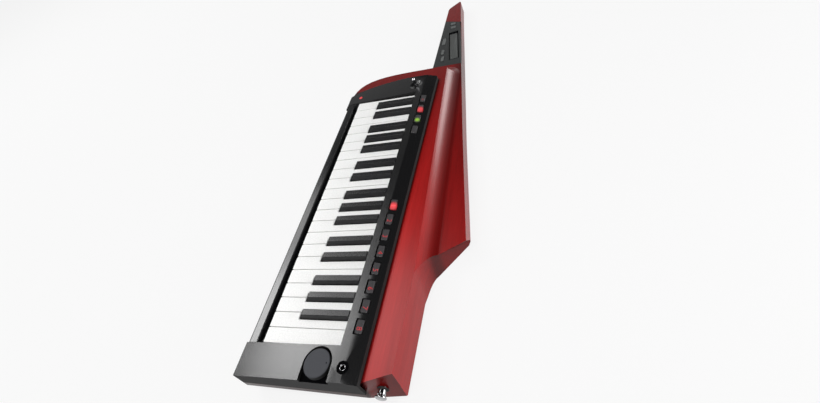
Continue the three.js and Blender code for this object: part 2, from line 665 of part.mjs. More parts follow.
function woodBody() {
  const slab = block(
    [-NECK_TIP_REACH - CUT_OVERRUN, BODY_FRONT_Y - CUT_OVERRUN, -CUT_OVERRUN],
    [END_X + CUT_OVERRUN, HORN_CORNER_Y + CUT_OVERRUN, HORN_TOP_Z]);
  const shaped = bodyBlock(WOOD_TOP_Z).intersect(join(slab, raisedBody()));
  const keyPocket = block(
    [-POCKET_LOW_REACH, POCKET_FRONT_Y, -CUT_OVERRUN],
    [POCKET_HIGH_X, POCKET_REAR_Y, WOOD_TOP_Z + CUT_OVERRUN]);
  const coverRebate = prism(coverPlan(FIT_GAP), -CUT_OVERRUN, COVER_THICKNESS + 2 * SEAT_GAP);
  const ribbonSeat = block(
    [-SEAT_GAP - RIBBON_END_GAP, BODY_FRONT_Y - CUT_OVERRUN, RIBBON_BOTTOM_Z - SEAT_GAP],
    [KEYBED_LENGTH + SEAT_GAP + RIBBON_END_GAP, 0, WOOD_TOP_Z + CUT_OVERRUN]);
  const skirtSeat = block(
    [END_X - SKIRT_THICKNESS - SEAT_GAP, BODY_FRONT_Y - CUT_OVERRUN, SKIRT_BOTTOM_Z - SEAT_GAP],
    [END_X + CUT_OVERRUN, PANEL_REAR_Y + SEAT_GAP, WOOD_TOP_Z + CUT_OVERRUN]);
  const neckSeat = prism(outline([
    [neckPanelLowX(NECK_FRONT_Y - CUT_OVERRUN) - FIT_GAP, NECK_FRONT_Y - CUT_OVERRUN],
    [NECK_PANEL_HIGH_X + FIT_GAP, NECK_FRONT_Y - CUT_OVERRUN],
    [NECK_PANEL_HIGH_X + FIT_GAP, HORN_CORNER_Y],
    [neckPanelLowX(HORN_CORNER_Y) - FIT_GAP, HORN_CORNER_Y],
  ]), HORN_TOP_Z - NECK_PANEL_THICKNESS - SEAT_GAP, WOOD_TOP_Z);
  const neckPocket = cut(
    prism(neckPanelPlan(NECK_POCKET_END_WALL, NECK_POCKET_WALL), NECK_POCKET_FLOOR_Z, HORN_TOP_Z),
    fulcrum(VALUE_CAP),
    fulcrum(OCTAVE_CAP));
  const carved = cut(
    shaped, rearWallCutter(), endCutter(), endChamferCutter(),
    keyPocket, coverRebate, ribbonSeat, skirtSeat, neckSeat, neckPocket);
  return join(carved, strapPin());
}

function coverPlan(margin) {
  const low = -POCKET_LOW_REACH - COVER_LIP - margin;
  const high = POCKET_HIGH_X + margin;
  const front = POCKET_FRONT_Y - COVER_LIP - margin;
  const rear = POCKET_REAR_Y + COVER_LIP + margin;
  const centreX = (low + high) / 2;
  const centreY = (front + rear) / 2;
  return roundedRectangle(centreX, centreY, high - low, rear - front, COVER_CORNER_RADIUS);
}

function backCover() {
  return prism(coverPlan(0), SEAT_GAP, SEAT_GAP + COVER_THICKNESS);
}

// Plan of the front panel round the keys, open along the long ribbon
function panelPlan() {
  const shape = new THREE.Shape();
  const lowRearX = -PANEL_LOW_REAR_REACH;
  shape.moveTo(-PANEL_CORNER_REACH, BODY_FRONT_Y);
  shape.lineTo(OPENING_LOW_X, BODY_FRONT_Y);
  shape.lineTo(OPENING_LOW_X, WALL_Y);
  shape.lineTo(OPENING_HIGH_X, WALL_Y);
  shape.lineTo(OPENING_HIGH_X, BODY_FRONT_Y);
  shape.lineTo(END_X, BODY_FRONT_Y);
  shape.lineTo(END_X, PANEL_REAR_Y);
  shape.lineTo(lowRearX + PANEL_CORNER_RADIUS, PANEL_REAR_Y);
  shape.quadraticCurveTo(lowRearX, PANEL_REAR_Y, lowRearX, PANEL_REAR_Y - PANEL_CORNER_RADIUS);
  shape.lineTo(-PANEL_LOW_REACH, PANEL_STRAIGHT_END_Y);
  lowCorner(shape, PANEL_LOW_REACH, PANEL_CORNER_REACH, PANEL_STRAIGHT_END_Y, PANEL_ARC_SHARES);
  return shape;
}

// The roof over the whole panel, with a drop that lowers its upper face for the hollow inside
function panelRoof(lowX, highX, lowZ, drop) {
  return bar(outline([
    [BODY_FRONT_Y, lowZ],
    [PANEL_REAR_Y, lowZ],
    [PANEL_REAR_Y, PANEL_REAR_Z - drop],
    [PANEL_RIDGE_Y, PANEL_RIDGE_Z - drop],
    [BODY_FRONT_Y, PANEL_FRONT_Z - drop],
  ]), lowX, highX);
}

const KNOB = { x: END_X - KNOB_TO_END, y: WALL_Y - KNOB_TO_WALL };
const JACK = { x: END_X - JACK_TO_END, y: PANEL_REAR_Y - JACK_TO_PANEL_REAR };
const TOGGLE = { x: -TOGGLE_REACH, y: WALL_Y - TOGGLE_TO_WALL };

function buttonCentres(firstX, count) {
  return Array.from({ length: count }, (_, index) => firstX + index * BUTTON_PITCH);
}

// The toe of the panel's low arm, a wedge in front of the keys that the long ribbon starts from
function panelToe(margin, lowZ) {
  const low = OPENING_LOW_X;
  return prism(outline([
    [low, BODY_FRONT_Y - margin],
    [PANEL_TOE_LENGTH + margin, BODY_FRONT_Y - margin],
    [low + margin, margin],
    [low, margin],
  ]), lowZ, KEY_TOP_Z + margin);
}

// The well round a button, wider on its side towards the keys
function buttonHole(x) {
  const reach = BUTTON_LENGTH / 2 + BUTTON_WELL_GAP;
  const frontY = BUTTON_CENTRE_Y - BUTTON_WIDTH / 2 - BUTTON_WELL_FRONT_GAP;
  const rearY = BUTTON_CENTRE_Y + BUTTON_WIDTH / 2 + BUTTON_WELL_GAP;
  return prism(
    roundedRectangle(x, (frontY + rearY) / 2, 2 * reach, rearY - frontY, BUTTON_CORNER_RADIUS),
    WOOD_TOP_Z, PANEL_RIDGE_Z + CUT_OVERRUN, CAP_STEPS);
}

// The open slot round the knob, round behind it and straight out of the end
function knobRecess() {
  const radius = KNOB_RADIUS + KNOB_RECESS_GAP;
  const topZ = PANEL_RIDGE_Z + CUT_OVERRUN;
  return join(
    disc(KNOB.x, KNOB.y, radius, KNOB_RECESS_FLOOR_Z, topZ),
    block([KNOB.x, KNOB.y - radius, KNOB_RECESS_FLOOR_Z], [END_X + CUT_OVERRUN, KNOB.y + radius, topZ]));
}

// The socket that holds the toggle's ball, flared above it so that the lever can tilt, in a shallow dish
function toggleSocket() {
  const ballRadius = TOGGLE_BALL_RADIUS + SEAT_GAP;
  const rimZ = roofZ(TOGGLE.y);
  const floorZ = rimZ - TOGGLE_DISH_DEPTH;
  const topZ = PANEL_RIDGE_Z + CUT_OVERRUN;
  const topRadius = TOGGLE_DISH_RADIUS * Math.sqrt((topZ - floorZ) / TOGGLE_DISH_DEPTH);
  const dish = [];
  for (let step = 0; step <= DISH_STEPS; step += 1) {
    const radius = TOGGLE_BORE_RADIUS + (topRadius - TOGGLE_BORE_RADIUS) * step / DISH_STEPS;
    dish.push([radius, floorZ + TOGGLE_DISH_DEPTH * (radius / TOGGLE_DISH_RADIUS) ** 2]);
  }
  return turned([
    [0, 0],
    [ballRadius, 0],
    [ballRadius, TOGGLE_PIVOT_Z],
    ...dish,
    [0, topZ],
  ], TOGGLE.x, TOGGLE.y, KNOB_SEGMENTS);
}

function frontPanel() {
  const baseZ = WOOD_TOP_Z + SEAT_GAP;
  const shell = prism(panelPlan(), baseZ, PANEL_RIDGE_Z + CUT_OVERRUN, PANEL_PLAN_STEPS)
    .intersect(panelRoof(-ROOT_REACH, END_X + CUT_OVERRUN, 0, 0));
  const toeRoot = block(
    [OPENING_LOW_X - CUT_OVERRUN, BODY_FRONT_Y, baseZ],
    [OPENING_LOW_X + SEAT_GAP, 0, KEY_TOP_Z]);
  const toe = join(panelToe(0, RIBBON_BOTTOM_Z), toeRoot);
  const stripHollow = block(
    [TOGGLE.x + TOGGLE_DISH_RADIUS + PANEL_THICKNESS, WALL_Y + PANEL_THICKNESS, 0],
    [OPENING_HIGH_X, PANEL_REAR_Y - PANEL_THICKNESS, PANEL_RIDGE_Z],
  ).intersect(panelRoof(-ROOT_REACH, END_X, 0, PANEL_THICKNESS));
  const skirt = block(
    [END_X - SKIRT_THICKNESS, BODY_FRONT_Y, SKIRT_BOTTOM_Z],
    [END_X, PANEL_REAR_Y, baseZ + CUT_OVERRUN]);
  const holes = [
    ...buttonCentres(FUNCTION_BUTTON_X, FUNCTION_BUTTON_COUNT),
    ...buttonCentres(FAVOURITE_BUTTON_X, FAVOURITE_BUTTON_COUNT),
  ].map(buttonHole);
  return cut(
    join(shell, skirt, toe),
    stripHollow,
    knobRecess(),
    disc(KNOB.x, KNOB.y, KNOB_SHAFT_RADIUS + FIT_GAP, 0, PANEL_RIDGE_Z),
    disc(JACK.x, JACK.y, JACK_RADIUS, 0, PANEL_RIDGE_Z + CUT_OVERRUN),
    toggleSocket(),
    ...holes);
}

// A button cap that follows the panel's slope, over a flange held under the panel
function panelButton(x) {
  const front = BUTTON_CENTRE_Y - BUTTON_WIDTH / 2;
  const rear = BUTTON_CENTRE_Y + BUTTON_WIDTH / 2;
  const flangeTop = outerSlopeZ(rear + BUTTON_FLANGE) - PANEL_THICKNESS - SEAT_GAP;
  const flangeBottom = flangeTop - BUTTON_FLANGE_THICKNESS;
  const cap = prism(
    roundedRectangle(x, BUTTON_CENTRE_Y, BUTTON_LENGTH, BUTTON_WIDTH, BUTTON_CORNER_RADIUS),
    flangeBottom, PANEL_RIDGE_Z + BUTTON_CAP_HEIGHT, CAP_STEPS);
  const slope = bar(outline([
    [front, 0],
    [rear, 0],
    [rear, outerSlopeZ(rear) + BUTTON_PROUD],
    [front, outerSlopeZ(front) + BUTTON_PROUD],
  ]), x - BUTTON_LENGTH, x + BUTTON_LENGTH);
  const flange = block(
    [x - BUTTON_LENGTH / 2 - BUTTON_FLANGE, front - BUTTON_FLANGE, flangeBottom],
    [x + BUTTON_LENGTH / 2 + BUTTON_FLANGE, rear + BUTTON_FLANGE, flangeTop]);
  return join(cap.intersect(slope), flange);
}

function volumeKnob() {
  const bottomZ = KNOB_RECESS_FLOOR_Z + SEAT_GAP;
  const topZ = bottomZ + KNOB_HEIGHT;
  return turned([
    [0, bottomZ - KNOB_SHAFT_LENGTH],
    [KNOB_SHAFT_RADIUS, bottomZ - KNOB_SHAFT_LENGTH],
    [KNOB_SHAFT_RADIUS, bottomZ],
    [KNOB_RADIUS, bottomZ],
    [KNOB_RADIUS, topZ - KNOB_EDGE],
    [KNOB_RADIUS - KNOB_EDGE, topZ],
    [0, topZ],
  ], KNOB.x, KNOB.y, KNOB_SEGMENTS);
}

// A bat lever on a ball, thin at the neck and full at the tip
function toggleLever() {
  const ball = [];
  for (let step = 0; step <= BALL_STEPS; step += 1) {
    const turn = (step / BALL_STEPS) * BALL_TURN_SHARE * Math.PI;
    ball.push([TOGGLE_BALL_RADIUS * Math.sin(turn), TOGGLE_PIVOT_Z - TOGGLE_BALL_RADIUS * Math.cos(turn)]);
  }
  const tip = [];
  for (let step = 0; step <= BALL_STEPS; step += 1) {
    const turn = (step / BALL_STEPS) * Math.PI / 2;
    const drop = TOGGLE_TIP_RADIUS * (1 - Math.sin(turn));
    tip.push([TOGGLE_TIP_RADIUS * Math.cos(turn), TOGGLE_TOP_Z - drop]);
  }
  return turned([...ball, [TOGGLE_NECK_RADIUS, PANEL_RIDGE_Z], ...tip], TOGGLE.x, TOGGLE.y, LEVER_SEGMENTS);
}

// The long ribbon bar, rounded over its outer edge, with an apron that lines the pocket under the keys
function longRibbon() {
  const innerY = -RIBBON_TO_KEYS;
  const outerY = BODY_FRONT_Y + RIBBON_SETBACK;
  const shape = new THREE.Shape();
  shape.moveTo(outerY, RIBBON_BOTTOM_Z);
  shape.lineTo(innerY - APRON_THICKNESS, RIBBON_BOTTOM_Z);
  shape.lineTo(innerY - APRON_THICKNESS, APRON_BOTTOM_Z);
  shape.lineTo(innerY, APRON_BOTTOM_Z);
  shape.lineTo(innerY, KEY_TOP_Z - RIBBON_INNER_RADIUS);
  shape.absarc(
    innerY - RIBBON_INNER_RADIUS, KEY_TOP_Z - RIBBON_INNER_RADIUS, RIBBON_INNER_RADIUS, 0, Math.PI / 2);
  shape.lineTo(outerY + RIBBON_OUTER_RADIUS, KEY_TOP_Z);
  shape.absarc(
    outerY + RIBBON_OUTER_RADIUS, KEY_TOP_Z - RIBBON_OUTER_RADIUS, RIBBON_OUTER_RADIUS, Math.PI / 2, Math.PI);
  const ribbon = bar(shape, OPENING_LOW_X + SEAT_GAP, OPENING_HIGH_X - SEAT_GAP, RIBBON_STEPS);
  return cut(ribbon, panelToe(FIT_GAP, 0));
}

// A plan rectangle that lies along the short ribbon's tilted line, with a longer end towards the tip
function tiltedPlan(margin, tipEnd) {
  const rockerX = rockerPlaces(VALUE_CAP, VALUE_CAP_STEP)[1].x + VALUE_CAP.length / 2;
  const lowX = rockerX + SHORT_RIBBON_TO_ROCKER;
  const highX = NECK_PANEL_HIGH_X - SHORT_RIBBON_TO_PANEL_END;
  const length = highX - lowX + margin + tipEnd;
  const width = SHORT_RIBBON_WIDTH + 2 * margin;
  const shape = roundedRectangle((margin - tipEnd) / 2, 0, length, width, BUTTON_CORNER_RADIUS);
  const turn = THREE.MathUtils.degToRad(SHORT_RIBBON_TILT_DEG);
  const centre = new THREE.Vector2(0, 0);
  const placeX = (lowX + highX) / 2;
  const place = new THREE.Vector2(placeX, rearEdgeY(placeX) - SHORT_RIBBON_TO_REAR_EDGE);
  const points = shape.getPoints(CAP_STEPS);
  return new THREE.Shape(points.map((point) => point.clone().rotateAround(centre, turn).add(place)));
}

// The black sheet over the neck, with the short ribbon lying in its slot
function neckPanel() {
  const bottomZ = HORN_TOP_Z - NECK_PANEL_THICKNESS;
  const slotFloor = HORN_TOP_Z - SHORT_RIBBON_DEPTH;
  const slotPlan = tiltedPlan(SHORT_RIBBON_SLOT, SHORT_RIBBON_SLOT_END);
  const slot = prism(slotPlan, slotFloor, HORN_TOP_Z + CUT_OVERRUN);
  const pad = prism(tiltedPlan(0, 0), bottomZ, slotFloor + SHORT_RIBBON_RISE);
  const sheet = prism(neckPanelPlan(0, 0), bottomZ, HORN_TOP_Z);
  const holes = [
    ...rockerPlaces(VALUE_CAP, VALUE_CAP_STEP).map((place) => neckHole(VALUE_CAP, place)),
    ...rockerPlaces(OCTAVE_CAP, OCTAVE_CAP_STEP).map((place) => neckHole(OCTAVE_CAP, place)),
    neckHole(ARPEGGIO_CAP, neckPlace(ARPEGGIO_CAP)),
  ];
  return cut(join(cut(sheet, slot), pad), ...holes);
}

function neckHole({ length, width }, { x, y }) {
  return prism(
    roundedRectangle(x, y, length + 2 * CAP_GAP, width + 2 * CAP_GAP, BUTTON_CORNER_RADIUS),
    0, HORN_TOP_Z + CUT_OVERRUN, CAP_STEPS);
}

function neckCap({ length, width }, { x, y }, bottomZ) {
  return prism(
    roundedRectangle(x, y, length, width, BUTTON_CORNER_RADIUS),
    bottomZ, HORN_TOP_Z + NECK_BUTTON_PROUD, CAP_STEPS);
}

// Two caps on one web, which tilts over a fulcrum halfway between them
function neckRocker(cap, step) {
  const [low, high] = rockerPlaces(cap, step);
  const middleY = (low.y + high.y) / 2;
  const web = block(
    [low.x - cap.length / 2, middleY - cap.width / 2 + NECK_WEB_MARGIN, NECK_WEB_Z],
    [high.x + cap.length / 2, middleY + cap.width / 2 - NECK_WEB_MARGIN, NECK_WEB_Z + NECK_WEB_THICKNESS]);
  return join(neckCap(cap, low, NECK_WEB_Z), neckCap(cap, high, NECK_WEB_Z), web);
}

function arpeggioButton() {
  const flangeTop = HORN_TOP_Z - NECK_PANEL_THICKNESS - SEAT_GAP;
  const flangeBottom = flangeTop - BUTTON_FLANGE_THICKNESS;
  const { length, width } = ARPEGGIO_CAP;
  const { x, y } = neckPlace(ARPEGGIO_CAP);
  const flange = block(
    [x - length / 2 - NECK_FLANGE, y - width / 2 - NECK_FLANGE, flangeBottom],
    [x + length / 2 + NECK_FLANGE, y + width / 2 + NECK_FLANGE, flangeTop]);
  return join(neckCap(ARPEGGIO_CAP, { x, y }, flangeBottom), flange);
}

// The chassis under the keys: base, stop rail at the front, cross ribs and the pivot rib
function keyFrame() {
  const baseZ = COVER_THICKNESS + 2 * SEAT_GAP;
  const baseTop = baseZ + FRAME_BASE_THICKNESS;
  const lowX = -FRAME_MARGIN;
  const highX = KEYBED_LENGTH + FRAME_MARGIN;
  const frontY = -FRAME_FRONT_REACH;
  const rearY = POCKET_REAR_Y - FRAME_MARGIN;
  const base = block([lowX, frontY, baseZ], [highX, rearY, baseTop]);
  const stopRail = block([lowX, STOP_RAIL_Y, baseZ], [highX, STOP_RAIL_Y + STOP_RAIL_WIDTH, STOP_RAIL_TOP_Z]);
  const pivotRib = block(
    [lowX, KEY_PIVOT_Y - FRAME_RIB_THICKNESS / 2, baseZ],
    [highX, KEY_PIVOT_Y + FRAME_RIB_THICKNESS / 2, KEY_BOTTOM_Z - SEAT_GAP]);
  const crossRibs = Array.from({ length: FRAME_RIB_COUNT }, (_, index) => {
    const x = lowX + (highX - lowX - FRAME_RIB_THICKNESS) * index / (FRAME_RIB_COUNT - 1);
    return block([x, STOP_RAIL_Y, baseZ], [x + FRAME_RIB_THICKNESS, KEY_PIVOT_Y, FRAME_RIB_TOP_Z]);
  });
  return join(base, stopRail, pivotRib, ...crossRibs);
}

// A key's narrow rear arm, which lies on the pivot rib
function keyTail(centreX, frontY) {
  return block(
    [centreX - KEY_TAIL_WIDTH / 2, frontY, KEY_BOTTOM_Z],
    [centreX + KEY_TAIL_WIDTH / 2, KEY_PIVOT_Y + KEY_TAIL_OVERHANG, KEY_BOTTOM_Z + KEY_TAIL_THICKNESS]);
}

// Plan of a white key with the notches that its black neighbours need
function whiteKeyPlan(left, right, notchLeft, notchRight) {
  const shape = new THREE.Shape();
  const notchY = BLACK_KEY_SETBACK - KEY_GAP;
  const radius = KEY_CORNER_RADIUS;
  shape.moveTo(left + radius, 0);
  shape.lineTo(right - radius, 0);
  shape.absarc(right - radius, radius, radius, -Math.PI / 2, 0);
  if (notchRight < right) {
    shape.lineTo(right, notchY);
    shape.lineTo(notchRight, notchY);
  }
  shape.lineTo(notchRight, WHITE_KEY_LENGTH);
  shape.lineTo(notchLeft, WHITE_KEY_LENGTH);
  if (notchLeft > left) {
    shape.lineTo(notchLeft, notchY);
    shape.lineTo(left, notchY);
  }
  shape.lineTo(left, radius);
  shape.absarc(left + radius, radius, radius, Math.PI, 1.5 * Math.PI);
  return shape;
}

function blackKeyCentre(boundary, note) {
  return KEY_PITCH * (boundary + BLACK_KEY_SHIFT_SHARES[note]);
}

function whiteKey(index) {
  const note = WHITE_NOTES[index % WHITE_NOTES.length];
  const noteBelow = WHITE_NOTES[(index + WHITE_NOTES.length - 1) % WHITE_NOTES.length];
  const left = index * KEY_PITCH + KEY_GAP / 2;
  const right = left + KEY_PITCH - KEY_GAP;
  const reach = BLACK_KEY_BASE_WIDTH / 2 + KEY_GAP;
  const hasBlackBelow = index > 0 && noteBelow in BLACK_KEY_SHIFT_SHARES;
  const hasBlackAbove = index < WHITE_KEY_COUNT - 1 && note in BLACK_KEY_SHIFT_SHARES;
  const notchLeft = hasBlackBelow ? blackKeyCentre(index, noteBelow) + reach : left;
  const notchRight = hasBlackAbove ? blackKeyCentre(index + 1, note) - reach : right;
  const plate = prism(whiteKeyPlan(left, right, notchLeft, notchRight), KEY_BOTTOM_Z, KEY_TOP_Z, KEY_STEPS);
  return join(plate, keyTail((notchLeft + notchRight) / 2, BLACK_KEY_SETBACK));
}

function blackKey(boundary, note) {
  const centre = blackKeyCentre(boundary, note);
  const frontY = BLACK_KEY_SETBACK;
  const rearY = WHITE_KEY_LENGTH;
  const halfBase = BLACK_KEY_BASE_WIDTH / 2;
  const halfTop = BLACK_KEY_TOP_WIDTH / 2;
  const stem = block([centre - halfBase, frontY, KEY_BOTTOM_Z], [centre + halfBase, rearY, KEY_TOP_Z]);
  const top = taperedBlock(
    { lowX: centre - halfBase, highX: centre + halfBase, lowY: frontY, highY: rearY, z: KEY_TOP_Z },
    {
      lowX: centre - halfTop,
      highX: centre + halfTop,
      lowY: frontY + BLACK_KEY_SLOPE,
      highY: rearY,
      z: KEY_TOP_Z + BLACK_KEY_RISE,
    });
  return join(stem, top, keyTail(centre, frontY));
}

function addKeys() {
  let number = 0;
  const nextName = (note) => {
    number += 1;
    return `key_${String(number).padStart(2, "0")}_${note}`;
  };
  for (let index = 0; index < WHITE_KEY_COUNT; index += 1) {
    const note = WHITE_NOTES[index % WHITE_NOTES.length];
    addPiece(nextName(note), whiteKey(index), FINISHES.whiteKey);
    if (note in BLACK_KEY_SHIFT_SHARES && index < WHITE_KEY_COUNT - 1) {
      addPiece(nextName(`${note}_sharp`), blackKey(index + 1, note), FINISHES.blackKey);
    }
  }
}

function addPanelButtons(name, firstX, count) {
  buttonCentres(firstX, count).forEach((x, index) => {
    addPiece(`${name}_${index + 1}`, panelButton(x), FINISHES.smoke);
  });
}

addPiece("wood_body", woodBody(), FINISHES.wood);
addPiece("back_cover", backCover(), FINISHES.back);
addPiece("key_frame", keyFrame(), FINISHES.frame);
addPiece("front_panel", frontPanel(), FINISHES.panel);
addPiece("long_ribbon", longRibbon(), FINISHES.ribbon);
addPiece("volume_knob", volumeKnob(), FINISHES.knob);
addPiece("toggle_lever", toggleLever(), FINISHES.chrome);
addPiece("neck_panel", neckPanel(), FINISHES.panel);
addPiece("value_rocker", neckRocker(VALUE_CAP, VALUE_CAP_STEP), FINISHES.rubber);
addPiece("octave_rocker", neckRocker(OCTAVE_CAP, OCTAVE_CAP_STEP), FINISHES.rubber);
addPiece("arpeggio_button", arpeggioButton(), FINISHES.rubber);
addPanelButtons("function_button", FUNCTION_BUTTON_X, FUNCTION_BUTTON_COUNT);
addPanelButtons("favourite_button", FAVOURITE_BUTTON_X, FAVOURITE_BUTTON_COUNT);
addKeys();

// The origin lies under the middle of the whole outline, on the plane the back rests on
const whole = new THREE.Box3().setFromObject(keytar);
keytar.position.set(-(whole.min.x + whole.max.x) / 2, -(whole.min.y + whole.max.y) / 2, -whole.min.z);

export default keytar;
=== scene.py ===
"""Looks of the keytar: finishes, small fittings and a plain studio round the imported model.

Metres, +Z out of the front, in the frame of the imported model. The profiles of turned pieces are
in millimetres.
"""

import math

import bmesh
import bpy
from mathutils import Matrix, Vector


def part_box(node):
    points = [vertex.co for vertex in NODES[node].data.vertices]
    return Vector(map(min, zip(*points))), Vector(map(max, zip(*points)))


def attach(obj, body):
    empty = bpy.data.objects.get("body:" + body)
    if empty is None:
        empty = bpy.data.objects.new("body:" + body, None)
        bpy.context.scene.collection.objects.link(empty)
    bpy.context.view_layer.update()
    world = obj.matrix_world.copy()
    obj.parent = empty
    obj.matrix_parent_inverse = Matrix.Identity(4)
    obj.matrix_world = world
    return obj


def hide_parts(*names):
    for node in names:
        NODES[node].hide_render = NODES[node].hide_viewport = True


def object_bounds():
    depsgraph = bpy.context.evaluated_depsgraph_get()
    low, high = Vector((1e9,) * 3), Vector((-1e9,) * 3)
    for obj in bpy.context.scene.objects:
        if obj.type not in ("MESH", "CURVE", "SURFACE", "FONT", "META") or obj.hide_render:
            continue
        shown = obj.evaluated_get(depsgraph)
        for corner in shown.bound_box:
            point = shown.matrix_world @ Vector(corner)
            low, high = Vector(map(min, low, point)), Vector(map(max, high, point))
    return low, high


MM = 0.001


def add_object(name, data):
    made = bpy.data.objects.new(name, data)
    bpy.context.scene.collection.objects.link(made)
    return made


# Camera: the photograph's viewing angle, in the frame of the model. The camera's axis meets the
# middle of the photograph's row AXIS_ROW
PHOTO_WIDTH = 820
PHOTO_HEIGHT = 403
FOCAL_PIXELS = 487.93
AXIS_ROW = 150
SENSOR_WIDTH = 36
NEAREST_SEEN = 0.01
FARTHEST_SEEN = 50
CAMERA_PLACE = Vector((0.5661, 0.3192, 0.5389))
CAMERA_RIGHT = Vector((-0.19887, 0.91717, -0.34532))
CAMERA_DOWN = Vector((0.72182, -0.10125, -0.68463))


def make_camera():
    data = bpy.data.cameras.new("camera")
    data.sensor_width = SENSOR_WIDTH
    data.lens = FOCAL_PIXELS * SENSOR_WIDTH / PHOTO_WIDTH
    data.shift_y = (AXIS_ROW - PHOTO_HEIGHT / 2) / PHOTO_WIDTH
    data.clip_start = NEAREST_SEEN
    data.clip_end = FARTHEST_SEEN
    camera = add_object("camera", data)
    forward = CAMERA_RIGHT.cross(CAMERA_DOWN)
    turn = Matrix((CAMERA_RIGHT, -CAMERA_DOWN, -forward)).transposed()
    camera.matrix_world = Matrix.Translation(CAMERA_PLACE) @ turn.to_4x4()
    bpy.context.scene.camera = camera


make_camera()
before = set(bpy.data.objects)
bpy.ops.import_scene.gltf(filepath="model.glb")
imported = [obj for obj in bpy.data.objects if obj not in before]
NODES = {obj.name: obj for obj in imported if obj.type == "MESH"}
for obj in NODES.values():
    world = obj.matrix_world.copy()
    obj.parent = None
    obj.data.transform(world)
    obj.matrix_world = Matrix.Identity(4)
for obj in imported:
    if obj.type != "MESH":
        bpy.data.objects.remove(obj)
cad_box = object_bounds()


def middle(node):
    low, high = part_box(node)
    return (low + high) / 2


# The panel's broad roof rises from its front edge to the ridge, and its outer slope falls behind it
PANEL_LOW, PANEL_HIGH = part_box("front_panel")
PLATE_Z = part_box("long_ribbon")[1].z
RIDGE_TO_REAR = 18.9 * MM
OUTER_DROP = 4.8 * MM
RIDGE_Y = PANEL_HIGH.y - RIDGE_TO_REAR
ROOF_SLOPE = (PANEL_HIGH.z - PLATE_Z) / (RIDGE_Y - PANEL_LOW.y)
ROOF_NORMAL = Vector((0, -ROOF_SLOPE, 1)).normalized()
OUTER_TILT = math.atan2(OUTER_DROP, RIDGE_TO_REAR)


def on_roof(x, y):
    return Vector((x, y, PLATE_Z + (y - PANEL_LOW.y) * ROOF_SLOPE))


def on_outer_slope(x, y):
    return Vector((x, y, PANEL_HIGH.z - (y - RIDGE_Y) * OUTER_DROP / RIDGE_TO_REAR))


# Sockets of the Mix node when it mixes colours, because their names repeat
MIX_A = 6
MIX_B = 7
MIX_RESULT = 2

# The part of a noise's range that it mostly keeps to
NOISE_RANGE = (0.3, 0.7)


def opaque(colour):
    return (*colour, 1)


def shaded(colour, share):
    return tuple(share * part for part in colour)


class Graph:
    """The nodes of one material or world, made one call at a time."""

    def __init__(self, tree):
        self.tree = tree
        tree.nodes.clear()

    def add(self, kind, inputs=None, **settings):
        node = self.tree.nodes.new(kind)
        for name, value in settings.items():
            setattr(node, name, value)
        for name, value in (inputs or {}).items():
            self.feed(node.inputs[name], value)
        return node

    def feed(self, socket, value):
        if isinstance(value, bpy.types.NodeSocket):
            self.tree.links.new(value, socket)
        elif isinstance(value, bpy.types.Node):
            self.tree.links.new(value.outputs[0], socket)
        else:
            socket.default_value = value

    def coordinate(self, kind):
        return self.add("ShaderNodeTexCoord").outputs[kind]

    def parts(self, vector):
        return self.add("ShaderNodeSeparateXYZ", {"Vector": vector}).outputs

    def place(self, scale=(1, 1, 1)):
        return self.add("ShaderNodeMapping", {"Vector": self.coordinate("Object"), "Scale": scale})

    def noise(self, vector, scale, detail=4.0, roughness=0.55, distortion=0.0):
        made = self.add("ShaderNodeTexNoise", {
            "Vector": vector, "Scale": scale, "Detail": detail, "Roughness": roughness,
            "Distortion": distortion})
        return made.outputs["Fac"]

    def ramp(self, value, low, high, to_low=0.0, to_high=1.0, smooth=False):
        made = self.add("ShaderNodeMapRange", {
            "Value": value, "From Min": low, "From Max": high, "To Min": to_low, "To Max": to_high})
        made.interpolation_type = "SMOOTHSTEP" if smooth else "LINEAR"
        return made.outputs["Result"]

    def math(self, operation, a, b):
        made = self.add("ShaderNodeMath", operation=operation)
        self.feed(made.inputs[0], a)
        self.feed(made.inputs[1], b)
        return made.outputs[0]

    def blend(self, share, a, b, kind="MIX"):
        """Two colours blended, each a socket or an (r, g, b) tuple."""
        made = self.add("ShaderNodeMix", data_type="RGBA", blend_type=kind)
        self.feed(made.inputs["Factor"], share)
        for index, colour in ((MIX_A, a), (MIX_B, b)):
            self.feed(made.inputs[index], opaque(colour) if isinstance(colour, tuple) else colour)
        return made.outputs[MIX_RESULT]

    def mix_shaders(self, share, a, b):
        made = self.add("ShaderNodeMixShader")
        for socket, value in zip(made.inputs, (share, a, b)):
            self.feed(socket, value)
        return made

    def bump(self, height, strength, distance):
        made = self.add("ShaderNodeBump", {
            "Height": height, "Strength": strength, "Distance": distance})
        return made.outputs["Normal"]


def blank_material(name):
    made = bpy.data.materials.new(name)
    made.use_nodes = True
    return made, Graph(made.node_tree)


def new_material(name, inputs):
    made, graph = blank_material(name)
    shader = graph.add("ShaderNodeBsdfPrincipled", inputs)
    graph.add("ShaderNodeOutputMaterial", {"Surface": shader})
    return made, graph, shader


# Straight grain along the body: slow bands, fine fibres and pores, each a stretched noise
BAND_STRETCH = (2.2, 30, 30)
FIBRE_STRETCH = (12, 300, 300)
PORE_STRETCH = (30, 800, 800)
STAIN_DEEP = (0.385, 0.0058, 0.0053)
STAIN_BRIGHT = (0.455, 0.009, 0.0082)
FIBRE_DARK = (0.86, 0.80, 0.80)
FIBRE_PALE = (1.06, 1.1, 1.1)
FIBRE_BUMP = 0.06
FIBRE_RELIEF = 0.3 * MM
PORE_COLOUR = (0.18, 0.003, 0.004)
PORE_SHARE = 0.3

# The wood is darker towards the neck, and painted shade darkens the horn
NECK_DARKEST_X = -130 * MM
NECK_DARK_ENDS_X = 200 * MM
NECK_DARK_SHARE = 0.4
HORN_SHADE_FROM_Y = PANEL_HIGH.y + 6 * MM
HORN_SHADE_FULL_Y = PANEL_HIGH.y + 52 * MM
HORN_SHADE_SHARE = 0.57
